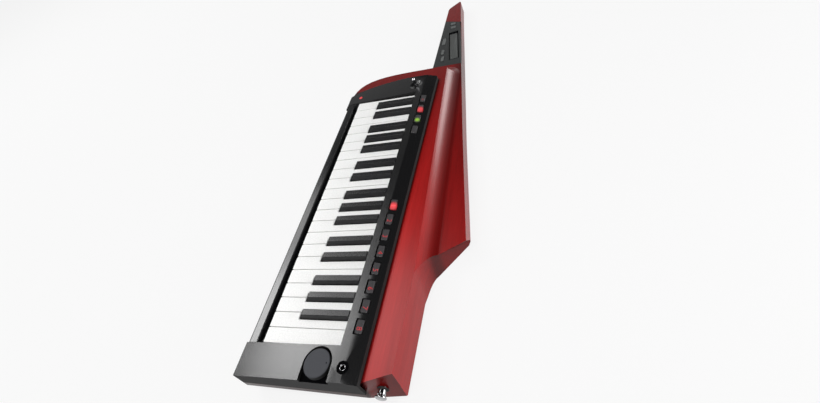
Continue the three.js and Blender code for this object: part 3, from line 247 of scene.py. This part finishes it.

# Painted shade darkens the foot of the cove, whose crest runs on a slant across the body
COVE_SLANT = 0.054
COVE_CREST_Y = PANEL_HIGH.y + 19.9 * MM
COVE_FOOT_FROM = COVE_CREST_Y + 2 * MM
COVE_FOOT_FULL = COVE_CREST_Y + 15 * MM
COVE_FOOT_FADES = COVE_CREST_Y + 19 * MM
COVE_FOOT_TO = COVE_CREST_Y + 26 * MM
COVE_SHADE_SHARE = 0.5

# Faces turned to the high end are darker, painted shade together with end grain taking more
# staining; painted shadow of the panel darkens the wood close behind it
END_FACING_RANGE = (0.3, 0.75)
END_GRAIN_AND_SHADE_SHARE = 0.35
PANEL_SHADOW_FULL_Y = PANEL_HIGH.y + 0.5 * MM
PANEL_SHADOW_TO_Y = PANEL_HIGH.y + 5 * MM
PANEL_SHADOW_FROM_X = PANEL_LOW.x + 4 * MM
PANEL_SHADOW_FULL_X = PANEL_LOW.x + 10 * MM
PANEL_SHADOW_SHARE = 0.2


def stain_depth(graph):
    """The share of the wood's brightness that is left: darker towards the neck, with painted shade
    on the horn, in the cove's foot and on the end faces, where end grain also takes more staining,
    and painted shadow behind the panel.
    """
    parts = graph.parts(graph.coordinate("Object"))
    # Darker towards the neck
    along = graph.ramp(parts["X"], NECK_DARKEST_X, NECK_DARK_ENDS_X, NECK_DARK_SHARE, 1.0)
    # Painted shade on the horn
    horn_shade = graph.ramp(parts["Y"], HORN_SHADE_FROM_Y, HORN_SHADE_FULL_Y, 1.0, HORN_SHADE_SHARE, smooth=True)
    slant = graph.math("MULTIPLY", parts["X"], COVE_SLANT)
    from_crest = graph.math("SUBTRACT", parts["Y"], slant)
    # Painted shade in the foot of the cove
    into_foot = graph.ramp(from_crest, COVE_FOOT_FROM, COVE_FOOT_FULL, 1.0, COVE_SHADE_SHARE)
    out_of_foot = graph.ramp(
        from_crest, COVE_FOOT_FADES, COVE_FOOT_TO, COVE_SHADE_SHARE, 1.0, smooth=True)
    cove_shade = graph.math("MAXIMUM", into_foot, out_of_foot)
    facing = graph.parts(graph.coordinate("Normal"))["X"]
    # Painted shade on the end faces, with end grain's deeper staining
    end_grain_and_shade = graph.ramp(facing, *END_FACING_RANGE, 1.0, END_GRAIN_AND_SHADE_SHARE, smooth=True)
    # Painted shadow of the panel on the wood close behind it
    behind = graph.ramp(
        parts["Y"], PANEL_SHADOW_FULL_Y, PANEL_SHADOW_TO_Y, PANEL_SHADOW_SHARE, 1.0, smooth=True)
    beyond = graph.ramp(parts["X"], PANEL_SHADOW_FULL_X, PANEL_SHADOW_FROM_X)
    panel_shadow = graph.math("MAXIMUM", behind, beyond)
    darkening = along
    for share in (horn_shade, cove_shade, end_grain_and_shade, panel_shadow):
        darkening = graph.math("MULTIPLY", darkening, share)
    return darkening


def stained_wood():
    """Red see-through staining over straight grain with fine pores, under clear lacquer, with
    painted shade and shadow darkening it in places.
    """
    made, graph, shader = new_material("stained_wood", {
        "Roughness": 0.5, "Specular IOR Level": 0.0,
        "Coat Weight": 0.85, "Coat Roughness": 0.26, "Coat IOR": 1.45})
    bands = graph.noise(
        graph.place(BAND_STRETCH), scale=1.8, detail=3, roughness=0.5, distortion=0.5)
    fibres = graph.noise(
        graph.place(FIBRE_STRETCH), scale=2.4, detail=5, roughness=0.62, distortion=0.2)
    pores = graph.noise(graph.place(PORE_STRETCH), scale=2.0, detail=2, roughness=0.5)
    streak = graph.blend(graph.ramp(bands, low=0.36, high=0.64), STAIN_DEEP, STAIN_BRIGHT)
    fibre = graph.blend(graph.ramp(fibres, *NOISE_RANGE), FIBRE_DARK, FIBRE_PALE)
    toned = graph.blend(1.0, streak, fibre, "MULTIPLY")
    pore = graph.math("MULTIPLY", graph.ramp(pores, low=0.62, high=0.76), PORE_SHARE)
    grained = graph.blend(pore, toned, PORE_COLOUR)
    darkening = stain_depth(graph)
    depth = graph.add("ShaderNodeCombineColor", {"Red": darkening, "Green": darkening, "Blue": darkening})
    graph.feed(shader.inputs["Base Color"], graph.blend(1.0, grained, depth, "MULTIPLY"))
    graph.feed(shader.inputs["Normal"], graph.bump(fibres, FIBRE_BUMP, FIBRE_RELIEF))
    return made


# Moulded plastic: how far its tone and roughness stray, and which faces count as upright
TONE_SPREAD = 0.06
ROUGHNESS_SPREAD = 0.03
UPRIGHT_FACING_RANGE = (0.75, 0.45)
GRAIN_RELIEF_SHARE = 0.4


def moulded(name, colour, roughness, grain, bump, coat=0.0, side=None, specular=0.5):
    """Moulded plastic with a fine even texture, whose grain is in millimetres.

    side is the (colour share, roughness) of its upright faces; a colour share below 1 darkens them
    as painted shade.
    """
    made, graph, shader = new_material(name, {
        "Coat Weight": coat, "Coat Roughness": 0.1, "IOR": 1.5, "Specular IOR Level": specular})
    grain_size = grain * MM
    fine = graph.noise(graph.place(), scale=1 / grain_size, detail=3, roughness=0.6)
    toned = graph.blend(
        graph.ramp(fine, *NOISE_RANGE),
        shaded(colour, 1 - TONE_SPREAD), shaded(colour, 1 + TONE_SPREAD))
    rough = graph.ramp(
        fine, *NOISE_RANGE, roughness - ROUGHNESS_SPREAD, roughness + ROUGHNESS_SPREAD)
    if side:
        share, side_roughness = side
        facing = graph.parts(graph.coordinate("Normal"))["Z"]
        upright = graph.ramp(facing, *UPRIGHT_FACING_RANGE)
        # Upright faces take their share of the colour: painted shade where it is below 1
        toned = graph.blend(upright, toned, shaded(colour, share))
        rough = graph.ramp(upright, 0, 1, rough, side_roughness)
    graph.feed(shader.inputs["Base Color"], toned)
    graph.feed(shader.inputs["Roughness"], rough)
    graph.feed(shader.inputs["Normal"], graph.bump(fine, bump, grain_size * GRAIN_RELIEF_SHARE))
    return made


# Polished metal: its blue part is a little stronger, and faint smears vary its roughness
METAL_BLUE_SHARE = 1.03
SMEAR_ROUGHNESS = (0.05, 0.12)


def chrome(name, tone):
    made, graph, shader = new_material(name, {
        "Base Color": (tone, tone, METAL_BLUE_SHARE * tone, 1), "Metallic": 1.0})
    smears = graph.noise(graph.place(), scale=160, detail=4, roughness=0.6)
    graph.feed(shader.inputs["Roughness"], graph.ramp(smears, *NOISE_RANGE, *SMEAR_ROUGHNESS))
    return made


# Smoky caps: a faint haze, and a lamp's glow that is full within a share of its radius
HAZE_DARK = (0.04, 0.038, 0.04)
HAZE_PALE = (0.06, 0.057, 0.06)
GLOW_CORE_SHARE = 0.2


def smoke(name, glow=None):
    """A smoky clear cap. glow is (place, radius, colour, strength) of the lamp under it."""
    made, graph, shader = new_material(name, {
        "Roughness": 0.3, "Coat Weight": 0.4, "Coat Roughness": 0.1})
    haze = graph.noise(graph.place(), scale=400, detail=3, roughness=0.6)
    graph.feed(shader.inputs["Base Color"], graph.blend(haze, HAZE_DARK, HAZE_PALE))
    if glow:
        place, radius, colour, strength = glow
        away = graph.add("ShaderNodeVectorMath", operation="DISTANCE")
        graph.feed(away.inputs[0], graph.coordinate("Object"))
        graph.feed(away.inputs[1], place)
        share = graph.ramp(
            away.outputs["Value"], radius, radius * GLOW_CORE_SHARE, 0, strength, smooth=True)
        graph.feed(shader.inputs["Emission Color"], opaque(colour))
        graph.feed(shader.inputs["Emission Strength"], share)
    return made


# Lit marks: the share of their colour that daylight shows, and how uneven their light is
UNLIT_SHARE = 0.3
UNEVEN_RANGE = (0.2, 0.8)
DIMMEST_SHARE = 0.7
BRIGHTEST_SHARE = 1.2


def lit(name, colour, strength):
    """A small lit mark, a little uneven."""
    made, graph, shader = new_material(name, {
        "Base Color": opaque(shaded(colour, UNLIT_SHARE)), "Roughness": 0.4,
        "Emission Color": opaque(colour)})
    uneven = graph.noise(graph.place(), scale=900, detail=2)
    level = graph.ramp(
        uneven, *UNEVEN_RANGE, strength * DIMMEST_SHARE, strength * BRIGHTEST_SHARE)
    graph.feed(shader.inputs["Emission Strength"], level)
    return made


# Each plastic as (name, colour, roughness, grain in millimetres, bump), then what sets it apart
MATERIALS = {
    "wood": stained_wood(),
    # The panel's upright faces, its end skirt and walls, are darkened to 0.6 of its colour: painted
    # shade
    "panel": moulded("panel_black", (0.0065, 0.0065, 0.007), 0.22, 0.7, 0.06, side=(0.6, 0.8)),
    "neck": moulded("neck_black", (0.016, 0.018, 0.018), 0.42, 0.6, 0.1),
    "back": moulded("back_plastic", (0.02, 0.02, 0.022), 0.6, 1.2, 0.5),
    "frame": moulded("chassis_plastic", (0.08, 0.085, 0.09), 0.6, 1, 0.3),
    "white_key": moulded("key_white", (0.88, 0.88, 0.87), 0.3, 2, 0.02, specular=0.15),
    "black_key": moulded("key_black", (0.0048, 0.0048, 0.006), 0.28, 0.8, 0.05, side=(1.0, 0.6)),
    "ribbon": moulded("ribbon_film", (0.010, 0.0105, 0.0115), 0.18, 0.8, 0.02),
    "short_ribbon": moulded("short_ribbon_film", (0.056, 0.060, 0.058), 0.75, 0.7, 0.1),
    # The knob's side wall is darkened to 0.1 of its colour: painted shade
    "knob": moulded("knob_plastic", (0.042, 0.044, 0.052), 0.7, 0.6, 0.2, side=(0.1, 0.9)),
    "rubber": moulded("button_rubber", (0.10, 0.105, 0.104), 0.55, 0.7, 0.1),
    # Flat black for the knob's mark and the jack's collar, and for the sheets of painted shade in
    # the knob's well and the ribbon's slot
    "black_and_shade": moulded("flat_black_and_shade", (0.003, 0.003, 0.0035), 0.9, 1, 0.2, specular=0.0),
    "felt": moulded("pin_felt", (0.02, 0.018, 0.018), 0.95, 0.5, 0.8),
    "steel": moulded("screw_steel", (0.03, 0.03, 0.032), 0.35, 0.4, 0.05, coat=0.5),
    "chrome": chrome("chrome", tone=0.82),
    # The strap pin's chrome is toned down to 0.4: painted shade that darkens what it mirrors
    "pin": chrome("pin_chrome", tone=0.4),
}

# Finishing the carried-over solids: each as (material, bevel width in millimetres, its segments)
SOLID_FINISHES = {
    "wood_body": ("wood", 2.0, 4),
    "back_cover": ("back", 0.6, 2),
    "key_frame": ("frame", 0, 0),
    "front_panel": ("panel", 0.4, 3),
    "long_ribbon": ("ribbon", 0.3, 2),
    "neck_panel": ("neck", 0.3, 2),
    "value_rocker": ("rubber", 0.3, 2),
    "octave_rocker": ("rubber", 0.3, 2),
    "arpeggio_button": ("rubber", 0.3, 2),
    "volume_knob": ("knob", 0, 0),
    "toggle_lever": ("chrome", 0, 0),
}
BLACK_KEY_FINISH = ("black_key", 1.1, 4)
WHITE_KEY_FINISH = ("white_key", 0.5, 3)
BUTTON_BEVEL = 0.35
BUTTON_BEVEL_SEGMENTS = 2
WELD_DISTANCE = 0.01 * MM
FLAT_ANGLE = math.radians(0.6)
BEVEL_ANGLE = math.radians(28)
LARGE_FACE_WEIGHT = 90


def dress(node, material, bevel, segments):
    piece = NODES[node]
    piece.data.materials.clear()
    piece.data.materials.append(material)
    for polygon in piece.data.polygons:
        polygon.use_smooth = True
    weld = piece.modifiers.new("weld", "WELD")
    weld.merge_threshold = WELD_DISTANCE
    flatten = piece.modifiers.new("flatten", "DECIMATE")
    flatten.decimate_type = "DISSOLVE"
    flatten.angle_limit = FLAT_ANGLE
    if bevel:
        rounding = piece.modifiers.new("rounding", "BEVEL")
        rounding.width = bevel * MM
        rounding.segments = segments
        rounding.limit_method = "ANGLE"
        rounding.angle_limit = BEVEL_ANGLE
        rounding.miter_outer = "MITER_ARC"
        rounding.use_clamp_overlap = True
    shading = piece.modifiers.new("shading", "WEIGHTED_NORMAL")
    shading.keep_sharp = False
    shading.weight = LARGE_FACE_WEIGHT


def dress_solids():
    finishes = dict(SOLID_FINISHES)
    for name in NODES:
        if name.endswith("sharp"):
            finishes[name] = BLACK_KEY_FINISH
        elif name.startswith("key_") and name not in SOLID_FINISHES:
            finishes[name] = WHITE_KEY_FINISH
    for name, (material, bevel, segments) in finishes.items():
        dress(name, MATERIALS[material], bevel, segments)


# Lit buttons, each as (colour, strength, radius in millimetres)
RED = (1.0, 0.035, 0.05)
LIME = (0.42, 0.85, 0.02)
GLOWS = {
    "function_button_1": (RED, 0.12, 3.5),
    "function_button_2": (RED, 0.75, 9),
    "function_button_3": (LIME, 0.6, 6),
    "favourite_button_1": (RED, 0.9, 9),
}
GLOW_SHIFT = Vector((3, 0, -1.5)) * MM
FAVOURITE_BUTTONS = sorted(name for name in NODES if name.startswith("favourite_button"))
FUNCTION_BUTTONS = sorted(name for name in NODES if name.startswith("function_button"))


def dress_buttons():
    for name in FAVOURITE_BUTTONS + FUNCTION_BUTTONS:
        glow = None
        if name in GLOWS:
            colour, strength, radius = GLOWS[name]
            centre = middle(name)
            place = Vector((centre.x, centre.y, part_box(name)[1].z)) + GLOW_SHIFT
            glow = (place, radius * MM, colour, strength)
        dress(name, smoke(f"smoke_{name}", glow), BUTTON_BEVEL, BUTTON_BEVEL_SEGMENTS)


dress_solids()
dress_buttons()


# New pieces
def new_piece(name, mesh, material, body="body"):
    mesh.materials.append(material)
    for polygon in mesh.polygons:
        polygon.use_smooth = True
    piece = add_object(name, mesh)
    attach(piece, body)
    return piece


def finished_mesh(made, name):
    """The mesh of a bmesh, which is freed."""
    mesh = bpy.data.meshes.new(name)
    made.to_mesh(mesh)
    made.free()
    return mesh


def ringed_mesh(made, rings, name):
    """A closed mesh through rings of vertices. A first or last ring may be one vertex, a tip."""
    pairs = list(zip(rings, rings[1:]))
    if len(rings[0]) > 1 and len(rings[-1]) > 1:
        pairs.append((rings[-1], rings[0]))
    count = max(len(ring) for ring in rings)
    for lower, upper in pairs:
        for step in range(count):
            after = (step + 1) % count
            if len(lower) == 1:
                made.faces.new((lower[0], upper[after], upper[step]))
            elif len(upper) == 1:
                made.faces.new((lower[step], lower[after], upper[0]))
            else:
                made.faces.new((lower[step], lower[after], upper[after], upper[step]))
    bmesh.ops.recalc_face_normals(made, faces=made.faces)
    return finished_mesh(made, name)


def lathe(profile, place, axis=(0, 0, 1), segments=64):
    """A turned mesh. profile is (radius, height) along the axis, closed or ending on the axis."""
    made = bmesh.new()
    turn = Vector((0, 0, 1)).rotation_difference(Vector(axis))
    rings = []
    for radius, height in profile:
        ring = []
        for step in range(segments if radius > 0 else 1):
            angle = 2 * math.pi * step / segments
            local = Vector((radius * math.cos(angle), radius * math.sin(angle), height)) * MM
            ring.append(made.verts.new(place + turn @ local))
        rings.append(ring)
    return ringed_mesh(made, rings, "turned")


# A rounded corner takes less than half of either side next to it
CORNER_SIDE_DIVISOR = 2.1
CORNER_STEPS = 4


def rounded(points, radius):
    """A profile with the corners between its two ends rounded."""
    result = [points[0]]
    for before, corner, after in zip(points, points[1:], points[2:]):
        here = Vector(corner)
        back = Vector(before) - here
        forth = Vector(after) - here
        cut = min(radius, back.length / CORNER_SIDE_DIVISOR, forth.length / CORNER_SIDE_DIVISOR)
        start = here + back.normalized() * cut
        end = here + forth.normalized() * cut
        for step in range(CORNER_STEPS + 1):
            share = step / CORNER_STEPS
            point = start * (1 - share) ** 2 + here * 2 * share * (1 - share) + end * share ** 2
            result.append((point.x, point.y))
    result.append(points[-1])
    return result


# Numerals on the caps of the eight favourite buttons
DIGIT_HEIGHT = 6.4 * MM
FONT_DIGIT_SHARE = 0.69
DIGIT_THICKNESS = 0.08 * MM
DIGIT_SHIFT = 2.4 * MM
DIGIT_MERGE = 0.001 * MM
CAP_PROUD = 0.4 * MM
BRIGHT_RED = (1.0, 0.12, 0.12)


def digit_mesh(text):
    curve = bpy.data.curves.new("digit", "FONT")
    curve.body = text
    curve.size = DIGIT_HEIGHT / FONT_DIGIT_SHARE
    curve.extrude = DIGIT_THICKNESS / 2
    curve.align_x = "CENTER"
    curve.align_y = "CENTER"
    holder = add_object("digit", curve)
    shapes = bpy.context.evaluated_depsgraph_get()
    mesh = bpy.data.meshes.new_from_object(holder.evaluated_get(shapes))
    bpy.data.objects.remove(holder)
    bpy.data.curves.remove(curve)
    made = bmesh.new()
    made.from_mesh(mesh)
    bmesh.ops.remove_doubles(made, verts=made.verts, dist=DIGIT_MERGE)
    made.to_mesh(mesh)
    made.free()
    mesh.materials.clear()
    return mesh


def make_digits():
    dim = lit("digit_dim", RED, strength=0.22)
    bright = lit("digit_bright", BRIGHT_RED, strength=1.0)
    tilt = Matrix.Rotation(-OUTER_TILT, 4, "X")
    for number, node in enumerate(FAVOURITE_BUTTONS, 1):
        mesh = digit_mesh(str(number))
        centre = middle(node)
        place = on_outer_slope(centre.x + DIGIT_SHIFT, centre.y)
        place.z += CAP_PROUD + DIGIT_THICKNESS / 2
        mesh.transform(Matrix.Translation(place) @ tilt)
        material = bright if node in GLOWS else dim
        new_piece(f"numeral_{number}", mesh, material, node)


# Toggle: a bat lever in place of the plain one, whose heights are from its pivot and from its top
TOGGLE_PIVOT = 2.6
BAT_FOOT = [
    (0, -2.5), (1.4, -2.1), (2.3, -1), (2.5, 0), (2.2, 1.1), (1.5, 2.3), (1.25, 4), (1.4, 8)]
BAT_HEAD = [(1.9, -6), (2.5, -3), (2.7, -1.8), (2.4, -0.7), (1.4, -0.1), (0, 0)]


def make_toggle():
    low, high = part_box("toggle_lever")
    centre = middle("toggle_lever")
    pivot = low.z / MM + TOGGLE_PIVOT
    top = high.z / MM
    profile = [(radius, pivot + height) for radius, height in BAT_FOOT]
    profile += [(radius, top + height) for radius, height in BAT_HEAD]
    bat = lathe(profile, Vector((centre.x, centre.y, 0)), segments=32)
    lever = new_piece("toggle_bat", bat, MATERIALS["chrome"], "toggle_lever")
    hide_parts("toggle_lever")


# Knob, its mark, and a black sheet of painted shade on the floor of its well, all in millimetres
WELL_FLOOR_Z = 50.0
WELL_GAP = 2.7
KNOB_SHAFT_RADIUS = 3
KNOB_FOOT_LIFT = 0.3
KNOB_FOOT_INSET = 0.6
KNOB_FOOT_HEIGHT = 0.8
KNOB_EDGE = 1.1
KNOB_RIM_WIDTH = 5
KNOB_RIM_DROP = 0.12
KNOB_MIDDLE_DROP = 0.2
KNOB_CORNER = 0.5
MARK_X = -0.8
MARK_Y = 12.9
MARK_PROFILE = [(0, 0), (0.8, 0), (0.8, 0.25), (0, 0.25)]
MARK_CORNER = 0.1
SHADE_SHEET_LIFT = 0.04
SHADE_SHEET_THICKNESS = 0.1
SHADE_SHEET_GAP = 0.15
SHADE_SHEET_HOLE_RADIUS = 3.6
SHADE_SHEET_SEGMENTS = 96


def make_knob():
    low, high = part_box("volume_knob")
    centre = middle("volume_knob")
    axis = Vector((centre.x, centre.y, 0))
    radius = (high.x - low.x) / 2 / MM
    foot = WELL_FLOOR_Z + KNOB_FOOT_LIFT
    bottom = low.z / MM
    top = high.z / MM
    profile = [
        (0, bottom), (KNOB_SHAFT_RADIUS, bottom), (KNOB_SHAFT_RADIUS, foot),
        (radius - KNOB_FOOT_INSET, foot), (radius, foot + KNOB_FOOT_HEIGHT),
        (radius, top - KNOB_EDGE), (radius - KNOB_EDGE, top),
        (radius - KNOB_RIM_WIDTH, top - KNOB_RIM_DROP), (0, top - KNOB_MIDDLE_DROP)]
    cap = lathe(rounded(profile, KNOB_CORNER), axis, segments=96)
    knob = new_piece("knob_cap", cap, MATERIALS["knob"], "volume_knob")
    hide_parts("volume_knob")
    mark_place = axis + Vector((MARK_X, MARK_Y, top - KNOB_MIDDLE_DROP)) * MM
    mark = lathe(rounded(MARK_PROFILE, MARK_CORNER), mark_place, segments=24)
    new_piece("knob_mark", mark, MATERIALS["black_and_shade"], "volume_knob")
    shade_sheet = well_lining(centre, radius)
    new_piece("knob_well_shade", shade_sheet, MATERIALS["black_and_shade"])


def well_lining(centre, knob_radius):
    """A thin black sheet of painted shade on the well's floor round the knob's shaft, round on one
    side and open to the panel's end.
    """
    made = bmesh.new()
    inner = SHADE_SHEET_HOLE_RADIUS * MM
    outer = (knob_radius + WELL_GAP - SHADE_SHEET_GAP) * MM
    to_end = PANEL_HIGH.x - SHADE_SHEET_GAP * MM - centre.x
    low_z = (WELL_FLOOR_Z + SHADE_SHEET_LIFT) * MM
    high_z = low_z + SHADE_SHEET_THICKNESS * MM
    rings = [[], [], [], []]
    for step in range(SHADE_SHEET_SEGMENTS):
        angle = 2 * math.pi * (step + 0.5) / SHADE_SHEET_SEGMENTS
        turn = Vector((math.cos(angle), math.sin(angle)))
        reach = outer
        if turn.x > 0:
            reach = min(to_end / turn.x, outer / abs(turn.y))
        corners = ((inner, low_z), (reach, low_z), (reach, high_z), (inner, high_z))
        for ring, (distance, z) in zip(rings, corners):
            x = centre.x + distance * turn.x
            y = centre.y + distance * turn.y
            ring.append(made.verts.new((x, y, z)))
    return ringed_mesh(made, rings, "shade_sheet")


# Jack: a black collar round a metal sleeve, placed from the panel's rear corner at the high end
JACK_PLACE = Vector((-16.6, -20.7)) * MM
JACK_COLLAR = [
    (4.1, -3.0), (5.3, -3.0), (5.3, 0.25), (7.2, 0.25), (7.2, 0.7), (6.6, 1.0), (4.5, 1.0),
    (4.1, 0.6)]
JACK_SLEEVE = [(3.1, -6.0), (3.7, -6.0), (3.7, -0.5), (3.4, -0.3), (3.1, -0.5)]


def make_jack():
    seat = on_roof(PANEL_HIGH.x + JACK_PLACE.x, PANEL_HIGH.y + JACK_PLACE.y)
    collar = lathe(JACK_COLLAR, seat, ROOF_NORMAL)
    new_piece("jack_collar", collar, MATERIALS["black_and_shade"])
    sleeve = lathe(JACK_SLEEVE, seat, ROOF_NORMAL)
    new_piece("jack_sleeve", sleeve, MATERIALS["chrome"])


# Strap pin: a metal skin over the plain one, on a felt washer. Heights are from the pin's end
STRAP_PIN_TO_PANEL_REAR = 17.8 * MM
STRAP_PIN_Z = 27 * MM
PIN_SKIN = [
    (0, -13), (4.9, -13), (4.9, -5.05), (3.45, -3.9), (3.45, -3.7), (6.75, -2.7), (6.75, -1.25),
    (5.2, -0.3), (3.2, 0.1), (0, 0.1)]
PIN_SKIN_CORNER = 0.4
PIN_FELT = [(4.9, -12), (7, -12), (7, -10.4), (6.2, -10.1), (4.9, -10.1)]
PIN_FELT_CORNER = 0.3
OUT_OF_END = (1, 0, 0)


def make_strap_pin():
    end = Vector((cad_box[1].x, PANEL_HIGH.y + STRAP_PIN_TO_PANEL_REAR, STRAP_PIN_Z))
    skin = lathe(rounded(PIN_SKIN, PIN_SKIN_CORNER), end, OUT_OF_END)
    new_piece("strap_pin_button", skin, MATERIALS["pin"])
    washer = lathe(rounded(PIN_FELT, PIN_FELT_CORNER), end, OUT_OF_END)
    new_piece("strap_pin_felt", washer, MATERIALS["felt"])


# Short ribbon on the neck: its film, and a black sheet of painted shade in its slot round the pad.
# Sides are (low x, high x, half width) in millimetres from the film's middle, as are the heights
RIBBON_TILT = math.radians(8.7)
RIBBON_SIZE = Vector((89, 15.2)) * MM
RIBBON_PLACE = Vector((-245.7, 45.4, 26.9)) * MM
RIBBON_MATRIX = Matrix.Translation(RIBBON_PLACE) @ Matrix.Rotation(RIBBON_TILT, 4, "Z")
FILM_THICKNESS = 0.25 * MM
FILM_CORNER = 1 * MM
FILM_CORNER_SEGMENTS = 4
ROUND_PROFILE = 0.5
PAD_SIDES = (-45.4, 45.4, 8.2)
SLOT_SIDES = (-52.3, 46.8, 9.8)
SLOT_LOW_Z = -0.76
SLOT_HIGH_Z = -0.66


def ribbon_film():
    made = bmesh.new()
    bmesh.ops.create_cube(made, size=1)
    size = (RIBBON_SIZE.x, RIBBON_SIZE.y, FILM_THICKNESS)
    bmesh.ops.scale(made, verts=made.verts, vec=size)
    upright = [
        edge for edge in made.edges
        if abs(edge.verts[0].co.z - edge.verts[1].co.z) > FILM_THICKNESS / 2]
    bmesh.ops.bevel(
        made, geom=upright, offset=FILM_CORNER, segments=FILM_CORNER_SEGMENTS,
        profile=ROUND_PROFILE, affect="EDGES")
    return finished_mesh(made, "film")


def slot_lining():
    """A thin black sheet of painted shade on the slot's floor, open where the ribbon's pad stands.
    """
    made = bmesh.new()
    rings = []
    for sides, z in (
            (PAD_SIDES, SLOT_LOW_Z), (SLOT_SIDES, SLOT_LOW_Z),
            (SLOT_SIDES, SLOT_HIGH_Z), (PAD_SIDES, SLOT_HIGH_Z)):
        low_x, high_x, half = sides
        corners = ((low_x, -half), (high_x, -half), (high_x, half), (low_x, half))
        rings.append([made.verts.new(Vector((x, y, z)) * MM) for x, y in corners])
    return ringed_mesh(made, rings, "slot_lining")


def make_short_ribbon():
    film = ribbon_film()
    film.transform(RIBBON_MATRIX)
    new_piece("short_ribbon_film", film, MATERIALS["short_ribbon"])
    shade_sheet = slot_lining()
    shade_sheet.transform(RIBBON_MATRIX)
    new_piece("short_ribbon_slot_shade", shade_sheet, MATERIALS["black_and_shade"])


# Screws of the back cover
SCREW_INSET = 7 * MM
SCREW_PROUD = 0.25 * MM
SCREW_HEAD = [(0, 0.35), (3, 0.35), (3, 0.1), (2.7, -0.02), (1.4, -0.02), (1.2, 0.2), (0, 0.25)]


def make_screws():
    low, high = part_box("back_cover")
    centre = middle("back_cover")
    left, right = low.x + SCREW_INSET, high.x - SCREW_INSET
    front, rear = low.y + SCREW_INSET, high.y - SCREW_INSET
    places = [(x, y) for x in (left, centre.x, right) for y in (front, rear)]
    places += [(left, centre.y), (right, centre.y)]
    for number, (x, y) in enumerate(places, 1):
        head = lathe(SCREW_HEAD, Vector((x, y, low.z - SCREW_PROUD)), segments=32)
        new_piece(f"cover_screw_{number}", head, MATERIALS["steel"])


# A small plain lamp on the panel's low arm
LAMP_PLACE = Vector((-91.0, -106.9)) * MM
LAMP_LENS = [(0, -0.2), (3.2, -0.2), (3.2, 0.3), (2, 0.5), (0, 0.55)]
LAMP_CORNER = 0.2
LAMP_RED = (1.0, 0.05, 0.06)


def make_lamp():
    seat = on_roof(LAMP_PLACE.x, LAMP_PLACE.y)
    lens = lathe(rounded(LAMP_LENS, LAMP_CORNER), seat, ROOF_NORMAL)
    new_piece("panel_lamp", lens, lit("lamp_red", LAMP_RED, strength=0.45))


make_digits()
make_toggle()
make_knob()
make_jack()
make_strap_pin()
make_short_ribbon()
make_screws()
make_lamp()

# Studio: a pale floor, a world that is white for the camera, and soft lamps
FLOOR_SIZE = 30
FLOOR_COLOUR = (0.6, 0.6, 0.6)
FLOOR_GLOW_SHARE = 0.85
WHITE = (1, 1, 1)
WORLD_LIGHT = 0.3
HORIZON_RANGE = (0.2, 0.66)
OVERHEAD_LEVEL = 0.01


def background_rays(graph, path):
    """1 for rays that see the background as painted: those of the camera, gloss and glass."""
    seen = graph.math("MAXIMUM", path["Is Camera Ray"], path["Is Glossy Ray"])
    return graph.math("MAXIMUM", seen, path["Is Transmission Ray"])


def make_floor():
    mesh = bpy.data.meshes.new("floor")
    half = FLOOR_SIZE / 2
    corners = [(-half, -half, 0), (half, -half, 0), (half, half, 0), (-half, half, 0)]
    mesh.from_pydata(corners, [], [(0, 1, 2, 3)])
    floor = add_object("floor", mesh)
    made, graph = blank_material("floor_pale")
    diffuse = graph.add("ShaderNodeBsdfDiffuse", {"Color": opaque(FLOOR_COLOUR)})
    white = graph.add("ShaderNodeEmission", {"Color": opaque(WHITE), "Strength": 1.0})
    path = graph.add("ShaderNodeLightPath").outputs
    glow = graph.math("MULTIPLY", background_rays(graph, path), FLOOR_GLOW_SHARE)
    mixed = graph.mix_shaders(glow, diffuse, white)
    graph.add("ShaderNodeOutputMaterial", {"Surface": mixed})
    mesh.materials.append(made)


def make_world():
    """White near the horizon, dark overhead for gloss, and an even dim light for all else."""
    world = bpy.data.worlds.new("studio")
    bpy.context.scene.world = world
    world.use_nodes = True
    graph = Graph(world.node_tree)
    height = graph.parts(graph.coordinate("Generated"))["Z"]
    level = graph.ramp(height, *HORIZON_RANGE, 1.0, OVERHEAD_LEVEL, smooth=True)
    path = graph.add("ShaderNodeLightPath").outputs
    strength = graph.math("MAXIMUM", level, path["Is Camera Ray"])
    painted = graph.add("ShaderNodeBackground", {"Color": opaque(WHITE), "Strength": strength})
    lighting = graph.add("ShaderNodeBackground", {"Color": opaque(WHITE), "Strength": WORLD_LIGHT})
    mixed = graph.mix_shaders(background_rays(graph, path), lighting, painted)
    graph.add("ShaderNodeOutputWorld", {"Surface": mixed})


# Each softbox as (name, place, width, height, radiance, target)
SOFTBOXES = [
    ("key_softbox", (-0.5, -1.91, 2.0), 0.75, 0.58, 13.5, None),
    ("key_softbox_side", (-1.25, -1.95, 2.0), 0.75, 0.54, 5.4, None),
    ("soft_edge", (-0.5, -1.45, 2.0), 0.65, 0.34, 0.6, None),
    ("haze_softbox", (-0.5, -0.95, 2.0), 0.9, 0.46, 4, None),
    ("overhead_softbox", (0.95, -0.1, 2.0), 1.1, 1.1, 6.2, None),
    ("rear_softbox", (-1.77, 1.22, 0.28), 0.9, 0.52, 8.5, (0, 0, 0.28)),
    ("wall_softbox", (0.25, 1.1, 0.2), 0.7, 0.34, 9, (-0.1, 0.1, 0.02)),
]


def softbox(name, place, width, height, radiance, target):
    """A rectangle of light, facing straight down unless it has a target."""
    data = bpy.data.lights.new(name, "AREA")
    data.shape = "RECTANGLE"
    data.size = width
    data.size_y = height
    data.energy = math.pi * radiance * width * height
    lamp = add_object(name, data)
    lamp.location = place
    if target:
        lamp.rotation_mode = "QUATERNION"
        lamp.rotation_quaternion = (Vector(target) - Vector(place)).to_track_quat("-Z", "Y")


make_floor()
make_world()
for settings in SOFTBOXES:
    softbox(*settings)
bpy.context.scene.view_settings.view_transform = "Standard"
